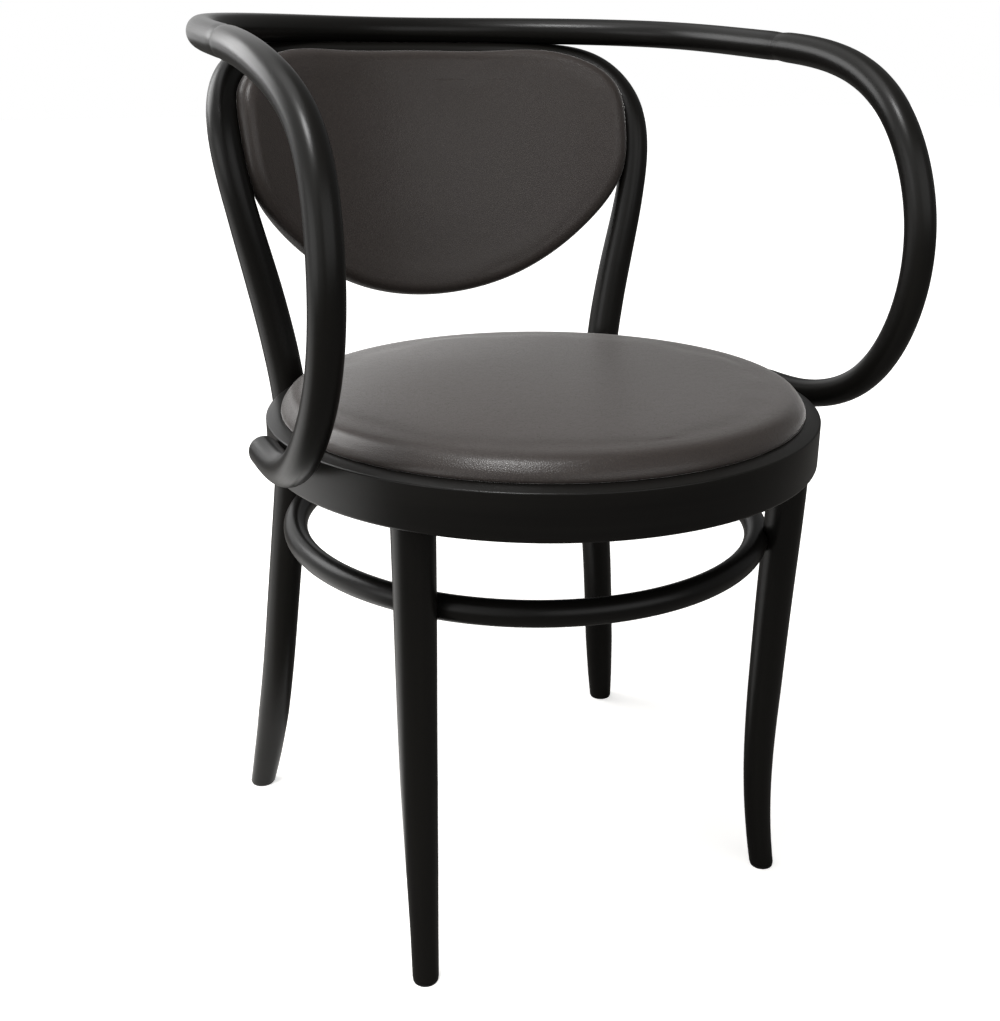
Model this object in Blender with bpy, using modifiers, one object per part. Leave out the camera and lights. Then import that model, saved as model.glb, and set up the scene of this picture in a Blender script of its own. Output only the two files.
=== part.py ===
# Bentwood armchair with an upholstered round seat and a curved upholstered back pad.
# The front of the chair looks along -Y, the sitter's left is +X and the floor is z = 0.
# Every position below is measured from the axis of the seat ring; SEAT_Y then centres the chair.
import math

import bmesh
import bpy
import numpy as np
from mathutils import Matrix, Vector

# Clearances, metres
GAP = 0.0003
LET_IN = 0.0015
HOOP_LET_FRONT = 0.0055
HOOP_LET_REAR = 0.0008
RAIL_LET = 0.0012

# Seat ring and seat pad
SEAT_RADIUS = 0.2305
RING_TOP = 0.441
RING_DEEP = 0.0392
RING_WIDE = 0.034
SEAT_RIM = 0.0126
PAD_RISE = 0.0172
SEAT_CROWN = 0.0008
SEAT_PLY = 0.0065
LEATHER = 0.0014
DUST_CLOTH = 0.0008
SEAT_LIP = 0.019

# Bent rods, diameters
ROD_RAIL = 0.0238
ROD_ARM = 0.0244
ROD_BACK = 0.0274
ROD_SEAT = 0.0314
REAR_FOOT = 0.024
LEG_TOP = 0.0334
LEG_FOOT = 0.0218
ROD_HOOP = 0.0208

# Places of the bent rods
RAIL_HEIGHT = 0.738
RAIL_BACK = 0.297
ARM_JOINT = 0.415
ARM_END_DROP = 0.0113
HOOP_HEIGHT = 0.327
HOOP_RATIO = 1.045
REAR_ANGLE = math.radians(47.75)
LEG_ANGLE = math.radians(-35.3)
LEG_INSET = 0.0215

# Back pad
PAD_THICK = 0.023
PAD_BEND = 0.325
PAD_TILT = 0.2265
PAD_CROWN = 0.0015
PAD_STAND = 0.0034
PAD_SIDE = -0.0022
PAD_CLEAR = 0.0005
PAD_SHIFT = 0.0005
BACK_PLY = 0.007
BACK_LIP = 0.0205
BACK_SCREW_SPREAD = 0.088
BACK_SCREW_DROP = 0.0108
BACK_SCREW_EDGE = 0.0290

# Fasteners, glides and tenons
TENON = 0.018
TENON_LONG = 0.026
DOWEL = 0.010
DOWEL_LONG = 0.050
WOOD_SCREW = 0.004
BOLT = 0.006
GLIDE_HIGH = 0.002

# Fineness of the facets
ROD_SIDES = 16
RING_STEPS = 64
SCREW_STEPS = 10
SEAT_STEPS = 48
HOOP_STEPS = 50
PAD_POINTS = 38
# Rings of the faces of the back pad: share of the way to the middle, share of the crown
PAD_FIELD = [(0, 0), (0.2, 0.5), (0.48, 0.85), (0.76, 1)]

RING_BOTTOM = RING_TOP - RING_DEEP
RING_MIDDLE = RING_TOP - RING_DEEP / 2
RING_INNER = SEAT_RADIUS - RING_WIDE
ARM_RISE = RAIL_HEIGHT - RING_TOP
ARM_SPREAD = SEAT_RADIUS + ROD_ARM / 2 + GAP
ARM_END_Z = RING_TOP - ARM_END_DROP
LOOP_Y = RAIL_BACK - 0.006
LOOP_TOP = RAIL_HEIGHT - ROD_RAIL / 2 - ROD_BACK / 2 + RAIL_LET
LOOP_RISE = LOOP_TOP - RAIL_LET - GAP - RING_TOP
REAR_OUT = SEAT_RADIUS + ROD_SEAT / 2 - LET_IN
REAR_X = REAR_OUT * math.cos(REAR_ANGLE)
REAR_Y = REAR_OUT * math.sin(REAR_ANGLE)
LEG_X = (SEAT_RADIUS - LEG_INSET) * math.cos(LEG_ANGLE)
LEG_Y = (SEAT_RADIUS - LEG_INSET) * math.sin(LEG_ANGLE)
PAD_HALF = REAR_X + 0.0377 - ROD_BACK / 2 - PAD_SIDE
PAD_Y = LOOP_Y - ROD_BACK / 2 - PAD_THICK / 2 - PAD_STAND

# Half of the arm bow, from the middle of the back rail to the end on the side of the seat ring
ARM_HALF = [
    (0, RAIL_BACK, RAIL_HEIGHT),
    (0.139, RAIL_BACK - 0.0445, RAIL_HEIGHT),
    (ARM_SPREAD - 0.0208, 0.161, RAIL_HEIGHT - 0.004),
    (ARM_SPREAD - 0.0006, 0.041, RAIL_HEIGHT - 0.013),
    (ARM_SPREAD + 0.0012, -0.065, RAIL_HEIGHT - 0.0284),
    (ARM_SPREAD - 0.004, -0.128, RING_TOP + 0.792 * ARM_RISE),
    (ARM_SPREAD - 0.0014, -0.165, RING_TOP + 0.537 * ARM_RISE),
    (ARM_SPREAD + 0.002, -0.1543, RING_TOP + 0.242 * ARM_RISE),
    (ARM_SPREAD + 0.0046, -0.105, RING_TOP + 0.0375 * ARM_RISE),
    (ARM_SPREAD + 0.001, -0.0437, ARM_END_Z + 0.001),
    (SEAT_RADIUS + ROD_ARM / 2 - LET_IN, 0.002, ARM_END_Z),
]

# Half of the back loop, from the middle of its top down to the foot of a rear leg
LOOP_HALF = [
    (0, LOOP_Y, LOOP_TOP),
    (0.070, LOOP_Y - 0.0095, LOOP_TOP),
    (0.1325, LOOP_Y - 0.031, LOOP_TOP - 0.0013),
    (REAR_X + 0.0160, REAR_Y + 0.0514, LOOP_TOP - 0.0121),
    (REAR_X + 0.0377, REAR_Y + 0.0216, RING_TOP + 0.840 * LOOP_RISE),
    (REAR_X + 0.0365, REAR_Y + 0.0049, RING_TOP + 0.6345 * LOOP_RISE),
    (REAR_X + 0.0201, REAR_Y + 0.0006, RING_TOP + 0.3456 * LOOP_RISE),
    (REAR_X + 0.0053, REAR_Y - 0.0004, RING_TOP + 0.062 * LOOP_RISE),
    (REAR_X, REAR_Y, RING_BOTTOM + 0.005),
    (REAR_X + 0.002, REAR_Y + 0.0118, 0.808 * RING_BOTTOM),
    (REAR_X + 0.0138, REAR_Y + 0.0181, 0.539 * RING_BOTTOM),
    (REAR_X + 0.0273, REAR_Y + 0.0281, 0.243 * RING_BOTTOM),
    (REAR_X + 0.042, REAR_Y + 0.0439, 0),
    (REAR_X + 0.0441, REAR_Y + 0.0463, -0.012),
]

# A front leg, from the shoulder under the ring to the foot
LEG_LINE = [
    (LEG_X, LEG_Y, RING_BOTTOM - GAP),
    (LEG_X, LEG_Y, RING_BOTTOM - 0.012),
    (LEG_X - 0.0009, LEG_Y + 0.0032, 0.716 * RING_BOTTOM),
    (LEG_X - 0.0016, LEG_Y + 0.0058, 0.477 * RING_BOTTOM),
    (LEG_X - 0.0021, LEG_Y + 0.0051, 0.239 * RING_BOTTOM),
    (LEG_X + 0.002, LEG_Y - 0.0062, 0),
    (LEG_X + 0.003, LEG_Y - 0.0086, -0.012),
]

# Half of the outline of the back pad, as parts of its half width and of the rise of the loop
PAD_HALF_OUTLINE = [
    (0, 1.0310),
    (0.3940, 1.0310),
    (0.7860, 1.0173),
    (0.9690, 0.9270),
    (1.0, 0.7894),
    (0.9730, 0.627),
    (0.8040, 0.4463),
    (0.4410, 0.2693),
    (0, 0.2095),
]


def mirrored(half):
    """A whole symmetric line from its half that starts on the middle plane."""
    other = [(-x, y, z) for x, y, z in reversed(half[1:])]
    return other + list(half)


def smooth_line(points, count=900):
    """Many points along the natural cubic spline through the given points."""
    p = np.array(points, float)
    step = np.linalg.norm(np.diff(p, axis=0), axis=1)
    n = len(p)
    system = np.eye(n)
    right = np.zeros_like(p)
    for i in range(1, n - 1):
        system[i, i - 1 : i + 2] = step[i - 1], 2 * (step[i - 1] + step[i]), step[i]
        right[i] = 6 * ((p[i + 1] - p[i]) / step[i] - (p[i] - p[i - 1]) / step[i - 1])
    bend = np.linalg.solve(system, right)
    along = np.concatenate([[0], np.cumsum(step)])
    t = np.linspace(0, along[-1], count)
    k = np.clip(np.searchsorted(along, t, side="right") - 1, 0, n - 2)
    h = step[k][:, None]
    a = (along[k + 1] - t)[:, None]
    b = (t - along[k])[:, None]
    curve = (bend[k] * a**3 + bend[k + 1] * b**3) / (6 * h)
    curve += (p[k] / h - bend[k] * h / 6) * a
    curve += (p[k + 1] / h - bend[k + 1] * h / 6) * b
    return curve


def lengths(line):
    return np.concatenate([[0], np.cumsum(np.linalg.norm(np.diff(line, axis=0), axis=1))])


def thinned(line, turn=math.radians(9), longest=0.04):
    """The few points of a fine line that keep each piece short and nearly straight."""
    kept = [0]
    along = lengths(line)
    heading = np.diff(line, axis=0)
    heading /= np.linalg.norm(heading, axis=1)[:, None]
    for i in range(1, len(line) - 1):
        turned = math.acos(np.clip(heading[i] @ heading[kept[-1]], -1, 1))
        if turned > turn or along[i] - along[kept[-1]] > longest:
            kept.append(i)
    if along[-1] - along[kept[-1]] < 0.004:
        kept.pop()
    return line[kept + [len(line) - 1]]


def at_height(line, z):
    """The point of a falling line at a height."""
    i = int(np.abs(line[:, 2] - z).argmin())
    return line[i]


def nearest(line, x):
    i = int(np.abs(line[:, 0] - x).argmin())
    return line[i]


ARM_BOW = smooth_line(mirrored(ARM_HALF), 1801)
LOOP_LINE = smooth_line(mirrored(LOOP_HALF), 1801)
LOOP_RIGHT = LOOP_LINE[900:]
LEG_AXIS = smooth_line(LEG_LINE)
CHAIR_BACK = ARM_BOW[:, 1].max() + ROD_RAIL / 2
CHAIR_FRONT = min(-SEAT_RADIUS, ARM_BOW[:, 1].min() - ROD_ARM / 2)
SEAT_Y = -(CHAIR_BACK + CHAIR_FRONT) / 2


def loop_radius(point):
    """The loop is thickest at the seat and tapers to the back and to the foot."""
    heights = [0, 0.035, 0.085, RING_BOTTOM, RING_TOP + 0.03]
    sizes = [REAR_FOOT, REAR_FOOT + 0.0035, ROD_SEAT - 0.001, ROD_SEAT, ROD_SEAT]
    heights += [RING_TOP + 0.30 * LOOP_RISE, RING_TOP + 0.55 * LOOP_RISE]
    sizes += [ROD_SEAT - 0.001, ROD_BACK]
    return np.interp(point[2], heights, sizes) / 2


def leg_radius(point):
    fall = [0, 0.10, 0.25, 0.45, 0.70, 1.0]
    size = [0, 0.12, 0.38, 0.68, 0.86, 1.0]
    share = np.interp(point[2] / RING_BOTTOM, fall, size)
    return (LEG_FOOT + (LEG_TOP - LEG_FOOT) * share) / 2


bpy.ops.object.select_all(action="DESELECT")
for old in list(bpy.data.objects):
    bpy.data.objects.remove(old, do_unlink=True)

parts = bpy.data.collections.new("bentwood_armchair")
cutters = bpy.data.collections.new("cutters")
bpy.context.scene.collection.children.link(parts)
bpy.context.scene.collection.children.link(cutters)


def material(name, colour, roughness, metallic=0.0):
    made = bpy.data.materials.new(name)
    made.use_nodes = True
    shader = made.node_tree.nodes["Principled BSDF"]
    shader.inputs["Base Color"].default_value = (*colour, 1)
    shader.inputs["Roughness"].default_value = roughness
    shader.inputs["Metallic"].default_value = metallic
    return made


STAINED = material("stained_beech", (0.013, 0.012, 0.011), 0.35)
BEECH = material("raw_beech", (0.50, 0.34, 0.19), 0.6)
PLYWOOD = material("plywood", (0.45, 0.31, 0.18), 0.6)
HIDE = material("leather", (0.055, 0.047, 0.042), 0.45)
FOAM = material("foam", (0.72, 0.66, 0.45), 0.9)
CLOTH = material("dust_cloth", (0.02, 0.02, 0.02), 0.9)
STEEL = material("steel", (0.55, 0.55, 0.56), 0.35, 1.0)
PLASTIC = material("black_plastic", (0.02, 0.02, 0.02), 0.5)


def keep(thing, name, skin):
    """Puts an object among the parts, or among the cutters when it has no material."""
    thing.name = name
    thing.data.name = name
    for holder in list(thing.users_collection):
        holder.objects.unlink(thing)
    if skin is None:
        cutters.objects.link(thing)
        thing.hide_render = True
        thing.display_type = "WIRE"
    else:
        parts.objects.link(thing)
        thing.data.materials.append(skin)
    return thing


def placed(thing, matrix=None):
    thing.matrix_world = Matrix.Translation((0, SEAT_Y, 0)) @ (matrix or Matrix.Identity(4))
    return thing


def rod(name, line, radii, skin, sides=ROD_SIDES, cyclic=False):
    """A bent rod: a curve with a round bevel, made into a mesh with closed ends."""
    curve = bpy.data.curves.new(name, "CURVE")
    curve.dimensions = "3D"
    curve.bevel_depth = 0.01
    curve.bevel_resolution = (sides - 4) // 2
    curve.use_fill_caps = not cyclic
    spline = curve.splines.new("POLY")
    spline.points.add(len(line) - 1)
    for point, place, radius in zip(spline.points, line, radii):
        point.co = (*place, 1)
        point.radius = radius / 0.01
    spline.use_cyclic_u = cyclic
    guide = bpy.data.objects.new(name + "_guide", curve)
    bpy.context.scene.collection.objects.link(guide)
    bpy.context.view_layer.update()
    graph = bpy.context.evaluated_depsgraph_get()
    mesh = bpy.data.meshes.new_from_object(guide.evaluated_get(graph))
    bpy.data.objects.remove(guide, do_unlink=True)
    form = bmesh.new()
    form.from_mesh(mesh)
    bmesh.ops.remove_doubles(form, verts=form.verts, dist=0.00001)
    bmesh.ops.recalc_face_normals(form, faces=form.faces)
    form.to_mesh(mesh)
    form.free()
    return keep(placed(bpy.data.objects.new(name, mesh)), name, skin)


def spun(name, profile, skin, steps=RING_STEPS, closed=False, matrix=None):
    """A turned shape: the profile, in radius and height, swept round the axis by a Screw modifier."""
    mesh = bpy.data.meshes.new(name)
    count = len(profile)
    edges = [(i, i + 1) for i in range(count - 1)]
    if closed:
        edges.append((count - 1, 0))
    mesh.from_pydata([(r, 0, z) for r, z in profile], edges, [])
    thing = keep(placed(bpy.data.objects.new(name, mesh), matrix), name, skin)
    screw = thing.modifiers.new("Turned", "SCREW")
    screw.steps = steps
    screw.render_steps = steps
    screw.use_merge_vertices = True
    screw.merge_threshold = 0.00001
    screw.use_normal_flip = True
    return thing


def loft(name, rings, skin, closed=False):
    """A skin over rings of equal point counts; a ring of one point is a pole."""
    form = bmesh.new()
    made = [[form.verts.new(p) for p in ring] for ring in rings]
    pairs = list(zip(made[:-1], made[1:]))
    if closed:
        pairs.append((made[-1], made[0]))
    for low, high in pairs:
        if len(low) == 1 and len(high) == 1:
            continue
        for i in range(max(len(low), len(high))):
            corners = [low[i % len(low)], low[(i + 1) % len(low)]]
            corners += [high[(i + 1) % len(high)], high[i % len(high)]]
            form.faces.new(list(dict.fromkeys(corners)))
    bmesh.ops.recalc_face_normals(form, faces=form.faces)
    bmesh.ops.triangulate(form, faces=form.faces, quad_method="SHORT_EDGE")
    mesh = bpy.data.meshes.new(name)
    form.to_mesh(mesh)
    form.free()
    return keep(placed(bpy.data.objects.new(name, mesh)), name, skin)


def aimed(place, direction):
    """A frame at a place whose Z axis points along a direction."""
    turn = Vector(direction).to_track_quat("Z", "Y").to_matrix().to_4x4()
    return Matrix.Translation(Vector(place)) @ turn


def cut(thing, cutter):
    boolean = thing.modifiers.new("Cut " + cutter.name, "BOOLEAN")
    boolean.operation = "DIFFERENCE"
    boolean.solver = "EXACT"
    boolean.object = cutter


def cylinder(name, radius, low, high, matrix=None, steps=SCREW_STEPS):
    return spun(name, [(0, low), (radius, low), (radius, high), (0, high)], None, steps, False, matrix)


def wood_screw(name, place, direction, long, bodies, size=WOOD_SCREW):
    """A countersunk screw and its clearance hole through the pieces that it holds."""
    shank = size / 2
    head = size
    sink = size * 0.6
    frame = aimed(place, direction)
    profile = [(0, 0.001), (size * 0.35, 0), (head, 0), (shank, sink), (shank, long - size), (0, long)]
    spun(name, profile, STEEL, SCREW_STEPS, False, frame)
    hole = [(0, -0.02), (head + GAP, -0.02), (head + GAP, GAP), (shank + GAP, sink + GAP)]
    hole += [(shank + GAP, long - size + GAP), (0, long + GAP)]
    cutter = spun(name + "_hole", hole, None, SCREW_STEPS, False, frame)
    for body in bodies:
        cut(body, cutter)


def pan_screw(name, place, direction, long, bodies, size):
    """A round-headed screw whose head bears on a face at the given place."""
    shank = size / 2
    head = size
    high = size * 0.6
    frame = aimed(place, direction)
    profile = [(0, -high * 0.7), (size * 0.4, -high), (head * 0.75, -high), (head, -high * 0.45), (head, 0)]
    profile += [(shank, 0), (shank, long - shank), (0, long)]
    spun(name, profile, STEEL, SCREW_STEPS, False, frame)
    cutter = cylinder(name + "_hole", shank + GAP, -0.004, long + GAP, frame)
    for body in bodies:
        cut(body, cutter)


SIDES = (("left", 1), ("right", -1))


def sided(point, side):
    return np.array([point[0] * side, point[1], point[2]])


# Seat ring: one bent band, rounded at its edges
ease = 0.003
ring = spun(
    "seat_ring",
    [
        (RING_INNER, RING_BOTTOM),
        (SEAT_RADIUS - ease, RING_BOTTOM),
        (SEAT_RADIUS - ease * 0.3, RING_BOTTOM + ease * 0.3),
        (SEAT_RADIUS, RING_BOTTOM + ease),
        (SEAT_RADIUS, RING_TOP - ease),
        (SEAT_RADIUS - ease * 0.3, RING_TOP - ease * 0.3),
        (SEAT_RADIUS - ease, RING_TOP),
        (RING_INNER, RING_TOP),
    ],
    STAINED,
    closed=True,
)

# Back loop: both rear legs and the back bow bent from one rod
loop_points = thinned(LOOP_LINE)
loop_sizes = [loop_radius(p) for p in loop_points]
loop = rod("back_loop", loop_points, loop_sizes, STAINED)
seat_span = [p for p in loop_points if RING_BOTTOM - 0.09 < p[2] < RING_TOP + 0.09]
for side_name, side in SIDES:
    span = np.array([p for p in seat_span if p[0] * side > 0])
    notch = rod(f"ring_notch_{side_name}", span, [loop_radius(p) + GAP for p in span], None)
    cut(ring, notch)

# Front legs: turned, with a tenon up into the ring
leg_points = thinned(LEG_AXIS, math.radians(3), 0.03)
leg_sizes = [leg_radius(p) for p in leg_points]
tenon_top = RING_BOTTOM + TENON_LONG
tenon = [(LEG_X, LEG_Y, tenon_top), (LEG_X, LEG_Y, tenon_top - 0.0015), (LEG_X, LEG_Y, RING_BOTTOM)]
tenon_sizes = [TENON / 2 - 0.0015, TENON / 2, TENON / 2]
legs = {}
for side_name, side in SIDES:
    line = [sided(p, side) for p in tenon + list(leg_points)]
    legs[side_name] = rod(f"front_leg_{side_name}", line, tenon_sizes + leg_sizes, STAINED)
    socket = Matrix.Translation((LEG_X * side, LEG_Y, 0))
    low, high = RING_BOTTOM - 0.01, tenon_top + GAP
    cut(ring, cylinder(f"leg_socket_{side_name}", TENON / 2 + GAP, low, high, socket, ROD_SIDES))

# Stretcher hoop: a round rod inside all four legs, let a little into each
front_at = at_height(LEG_AXIS, HOOP_HEIGHT)
rear_at = at_height(LOOP_RIGHT, HOOP_HEIGHT)


def hoop_reach(leg, radius, let_in, middle):
    """Half width of the hoop, centred at y = middle, that meets a leg."""
    x, y = leg[0], leg[1] - middle
    away = math.hypot(x, y)
    wide = math.hypot(x / away, y / away / HOOP_RATIO)
    return (away - radius - ROD_HOOP / 2 + let_in) * wide


low_y, high_y = -0.2, 0.2
for halving in range(50):
    hoop_y = (low_y + high_y) / 2
    front_reach = hoop_reach(front_at, leg_radius(front_at), HOOP_LET_FRONT, hoop_y)
    rear_reach = hoop_reach(rear_at, loop_radius(rear_at), HOOP_LET_REAR, hoop_y)
    if front_reach < rear_reach:
        low_y = hoop_y
    else:
        high_y = hoop_y
hoop_turns = np.linspace(0, 2 * math.pi, HOOP_STEPS, endpoint=False)
hoop_line = [
    (front_reach * math.cos(t), hoop_y + HOOP_RATIO * front_reach * math.sin(t), HOOP_HEIGHT)
    for t in hoop_turns
]
hoop = rod("stretcher_hoop", hoop_line, [ROD_HOOP / 2] * HOOP_STEPS, STAINED, 12, True)
hoop_room = rod("hoop_room", hoop_line, [ROD_HOOP / 2 + GAP] * HOOP_STEPS, None, 12, True)
cut(loop, hoop_room)
for side_name, side in SIDES:
    cut(legs[side_name], hoop_room)

# Back rail and arm bows: one bow in three lengths, joined end to end on dowels
bow_along = lengths(ARM_BOW) - lengths(ARM_BOW)[900]
rail_line = thinned(ARM_BOW[np.abs(bow_along) < ARM_JOINT - GAP / 2])
rail = rod("back_rail", rail_line, [ROD_RAIL / 2] * len(rail_line), STAINED)
top_span = [p for p in loop_points if p[2] > LOOP_TOP - 0.012]
cut(rail, rod("rail_seat", top_span, [loop_radius(p) + GAP for p in top_span], None))
arm_line = thinned(ARM_BOW[bow_along > ARM_JOINT + GAP / 2])
end_way = arm_line[-1] - arm_line[-2]
end_way /= np.linalg.norm(end_way)
end_turns = (math.radians(25), math.radians(50), math.radians(70))
arm_end = [arm_line[-1] + end_way * ROD_ARM / 2 * math.sin(t) for t in end_turns]
arm_sizes = [ROD_RAIL / 2] + [ROD_ARM / 2] * (len(arm_line) - 1)
arm_sizes += [ROD_ARM / 2 * math.cos(t) for t in end_turns]
saddle = cylinder("arm_saddle", SEAT_RADIUS + GAP, RING_BOTTOM - 0.03, RING_TOP + 0.03, None, 128)
joint_index = int(np.abs(bow_along - ARM_JOINT).argmin())
joint_at = ARM_BOW[joint_index]
joint_way = ARM_BOW[joint_index + 3] - ARM_BOW[joint_index - 3]
arms = {}
for side_name, side in SIDES:
    line = [sided(p, side) for p in list(arm_line) + arm_end]
    arm = rod(f"arm_bow_{side_name}", line, arm_sizes, STAINED)
    cut(arm, saddle)
    frame = aimed(sided(joint_at, side), sided(joint_way, side))
    half = DOWEL_LONG / 2
    pin = DOWEL / 2
    peg = [(0, -half), (pin - 0.001, -half), (pin, 0.001 - half)]
    peg += [(pin, half - 0.001), (pin - 0.001, half), (0, half)]
    spun(f"arm_dowel_{side_name}", peg, BEECH, SCREW_STEPS, False, frame)
    room = cylinder(f"dowel_hole_{side_name}", pin + GAP, -half - GAP, half + GAP, frame)
    cut(arm, room)
    cut(rail, room)
    arms[side_name] = arm

# Seat pad: plywood, foam and a leather cover drawn under the edge
pad_radius = SEAT_RADIUS - SEAT_RIM
lip_low = RING_TOP + GAP
crest = RING_TOP + PAD_RISE
lip_in = pad_radius - SEAT_LIP
seat_outer = [
    (pad_radius - 0.0014, lip_low),
    (pad_radius, lip_low + 0.0030),
    (pad_radius - 0.0014, crest - 0.0096),
    (pad_radius - 0.0052, crest - 0.0054),
    (pad_radius - 0.0112, crest - 0.0023),
    (pad_radius - 0.0195, crest),
    (pad_radius * 0.62, crest + SEAT_CROWN * 0.65),
    (0, crest + SEAT_CROWN),
]


def inside(profile, by):
    """A profile drawn inwards by a thickness, keeping its last point on the axis."""
    p = np.array(profile)
    way = np.gradient(p, axis=0)
    normal = np.stack([-way[:, 1], way[:, 0]], axis=1)
    normal /= np.linalg.norm(normal, axis=1)[:, None]
    normal[-1] = (0, -1)
    drawn = p + normal * by
    return [(max(r, 0), z) for r, z in drawn]


hide_inner = inside(seat_outer, LEATHER)
lip_high = lip_low + LEATHER
hide_inner[0] = (pad_radius - 0.0014 - LEATHER, lip_high)
seat_hide = [(lip_in, lip_high), (lip_in, lip_low)] + seat_outer
seat_cover = spun("seat_cover", list(reversed(hide_inner)) + seat_hide, HIDE, SEAT_STEPS)
board_low = lip_high + GAP
board_high = board_low + SEAT_PLY
board_radius = pad_radius - 0.0042 - GAP
board_profile = [(0, board_low), (board_radius, board_low), (board_radius, board_high), (0, board_high)]
seat_board = spun("seat_board", board_profile, PLYWOOD, SEAT_STEPS)
foam_low = board_high + GAP
foam_top = inside(seat_outer, LEATHER + GAP)
foam_profile = [(0, foam_low), (board_radius - 0.0004, foam_low)]
foam_profile += [p for p in foam_top if p[1] > foam_low + 0.001]
spun("seat_foam", foam_profile, FOAM, SEAT_STEPS)
dust_radius = lip_in - GAP
dust_low = lip_high - DUST_CLOTH
dust_profile = [(0, dust_low), (dust_radius, dust_low), (dust_radius, lip_high), (0, lip_high)]
spun("seat_dust_cover", dust_profile, CLOTH, SEAT_STEPS)

# Back pad: curved plywood and foam inside a leather cover, with a leather panel on its rear
pad_high = RING_TOP + PAD_HALF_OUTLINE[0][1] * LOOP_RISE
outline_half = [(x * PAD_HALF, 0, RING_TOP + z * LOOP_RISE) for x, z in PAD_HALF_OUTLINE]
outline_left = [(-x, y, z) for x, y, z in reversed(outline_half[1:-1])]
around = outline_half + outline_left
wrapped = smooth_line(around[-3:] + around + around[:4], 2400)
first = int(np.abs(wrapped - np.array(around[0])).sum(axis=1)[:1200].argmin())
last = first + int(np.abs(wrapped - np.array(around[0])).sum(axis=1)[first + 200 :].argmin()) + 200
lap = wrapped[first : last + 1]
lap_along = lengths(lap)
pad_stops = np.linspace(0, lap_along[-1], PAD_POINTS, endpoint=False)
pad_outline = np.stack([np.interp(pad_stops, lap_along, lap[:, k]) for k in (0, 2)], axis=1)
pad_way = np.roll(pad_outline, -1, axis=0) - np.roll(pad_outline, 1, axis=0)
pad_inward = np.stack([pad_way[:, 1], -pad_way[:, 0]], axis=1)
pad_inward /= np.linalg.norm(pad_inward, axis=1)[:, None]
pad_middle = np.array([0, RING_TOP + 0.66 * LOOP_RISE])
pad_y = PAD_Y


def pad_point(x, z, forward):
    """A point a distance in front of the curved, leaning middle surface of the back pad."""
    sag = math.sqrt(PAD_BEND**2 - x**2)
    normal = Vector((-x / sag, -1, PAD_TILT)).normalized()
    y = pad_y + PAD_TILT * (z - pad_high) + sag - PAD_BEND
    return Vector((x, y, z)) + normal * forward


def pad_ring(inset, share, forward):
    """A ring inside the outline by an inset, then drawn to the middle by a share."""
    flat = pad_outline + pad_inward * inset
    flat = flat + (pad_middle - flat) * share
    return [pad_point(x, z, forward) for x, z in flat]


half_thick = PAD_THICK / 2


def pad_field(forward, crown=0.0):
    """The rings of a face of the pad inside its rim, from the edge to the middle."""
    rings = [pad_ring(BACK_LIP + 0.004, share, forward + crown * rise) for share, rise in PAD_FIELD]
    return rings + [[pad_point(*pad_middle, forward + crown)]]


# The rim of the cover from the rear lip to the front seam, as inset and depth
pad_rim = [
    (BACK_LIP, -half_thick),
    (0.0138, -half_thick),
    (0.0088, -half_thick + 0.0028),
    (0.0030, -0.0040),
    (0, 0.0015),
    (0.0030, half_thick - 0.0032),
    (0.0090, half_thick - 0.0003),
]
loop_radii = np.array([loop_radius(p) for p in LOOP_LINE])


def rim_clearance():
    """The least distance from the rear of the pad's rim to the rod of the loop behind it."""
    rim = np.array([tuple(p) for d, n in pad_rim[:5] for p in pad_ring(d, 0, n)])
    away = np.linalg.norm(rim[:, None] - LOOP_LINE[None], axis=2)
    return (away - loop_radii[None]).min()


# A loop that stands further forward at its sides pushes the pad forward until its rim is clear
while rim_clearance() < PAD_CLEAR:
    pad_y -= PAD_SHIFT
hide_out = [pad_ring(d, 0, n) for d, n in pad_rim]
hide_out += pad_field(half_thick, PAD_CROWN)
hide_deep = half_thick - LEATHER
hide_in = list(reversed(pad_field(hide_deep, PAD_CROWN)))
hide_in += [pad_ring(0.0092, 0, hide_deep - 0.0003), pad_ring(0.0041, 0, hide_deep - 0.0028)]
hide_in += [pad_ring(LEATHER, 0, 0.0013), pad_ring(0.0030 + LEATHER * 0.8, 0, -0.0031)]
hide_in += [pad_ring(0.0097, 0, -hide_deep + 0.0026), pad_ring(0.0141, 0, -hide_deep)]
hide_in += [pad_ring(BACK_LIP, 0, -hide_deep)]
back_cover = loft("back_cover", hide_out + hide_in, HIDE, closed=True)
ply_rear = -hide_deep + GAP
ply_front = ply_rear + BACK_PLY
ply_edge = 0.0141 + GAP
foam_edge = 0.003 + LEATHER + GAP


def slab(name, edge, rear, front, rise, skin, crown=0.0):
    """A curved panel; a soft one is wider than the board behind it, eased in front and crowned."""
    rings = list(reversed(pad_field(rear))) + [pad_ring(edge, 0, rear)]
    if rise:
        rings.append(pad_ring(foam_edge, 0, rear + 0.0015))
        rings.append(pad_ring(foam_edge, 0, front - rise))
        rings.append(pad_ring(foam_edge + rise * 2.5, 0, front - GAP))
    else:
        rings.append(pad_ring(edge, 0, front))
    return loft(name, rings + pad_field(front, crown), skin)


back_board = slab("back_board", ply_edge, ply_rear, ply_front, 0, PLYWOOD)
slab("back_foam", ply_edge, ply_front + GAP, hide_deep - GAP, 0.0036, FOAM, PAD_CROWN)
back_panel = slab("back_rear_panel", BACK_LIP + GAP, -half_thick, -hide_deep, 0, HIDE)

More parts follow.
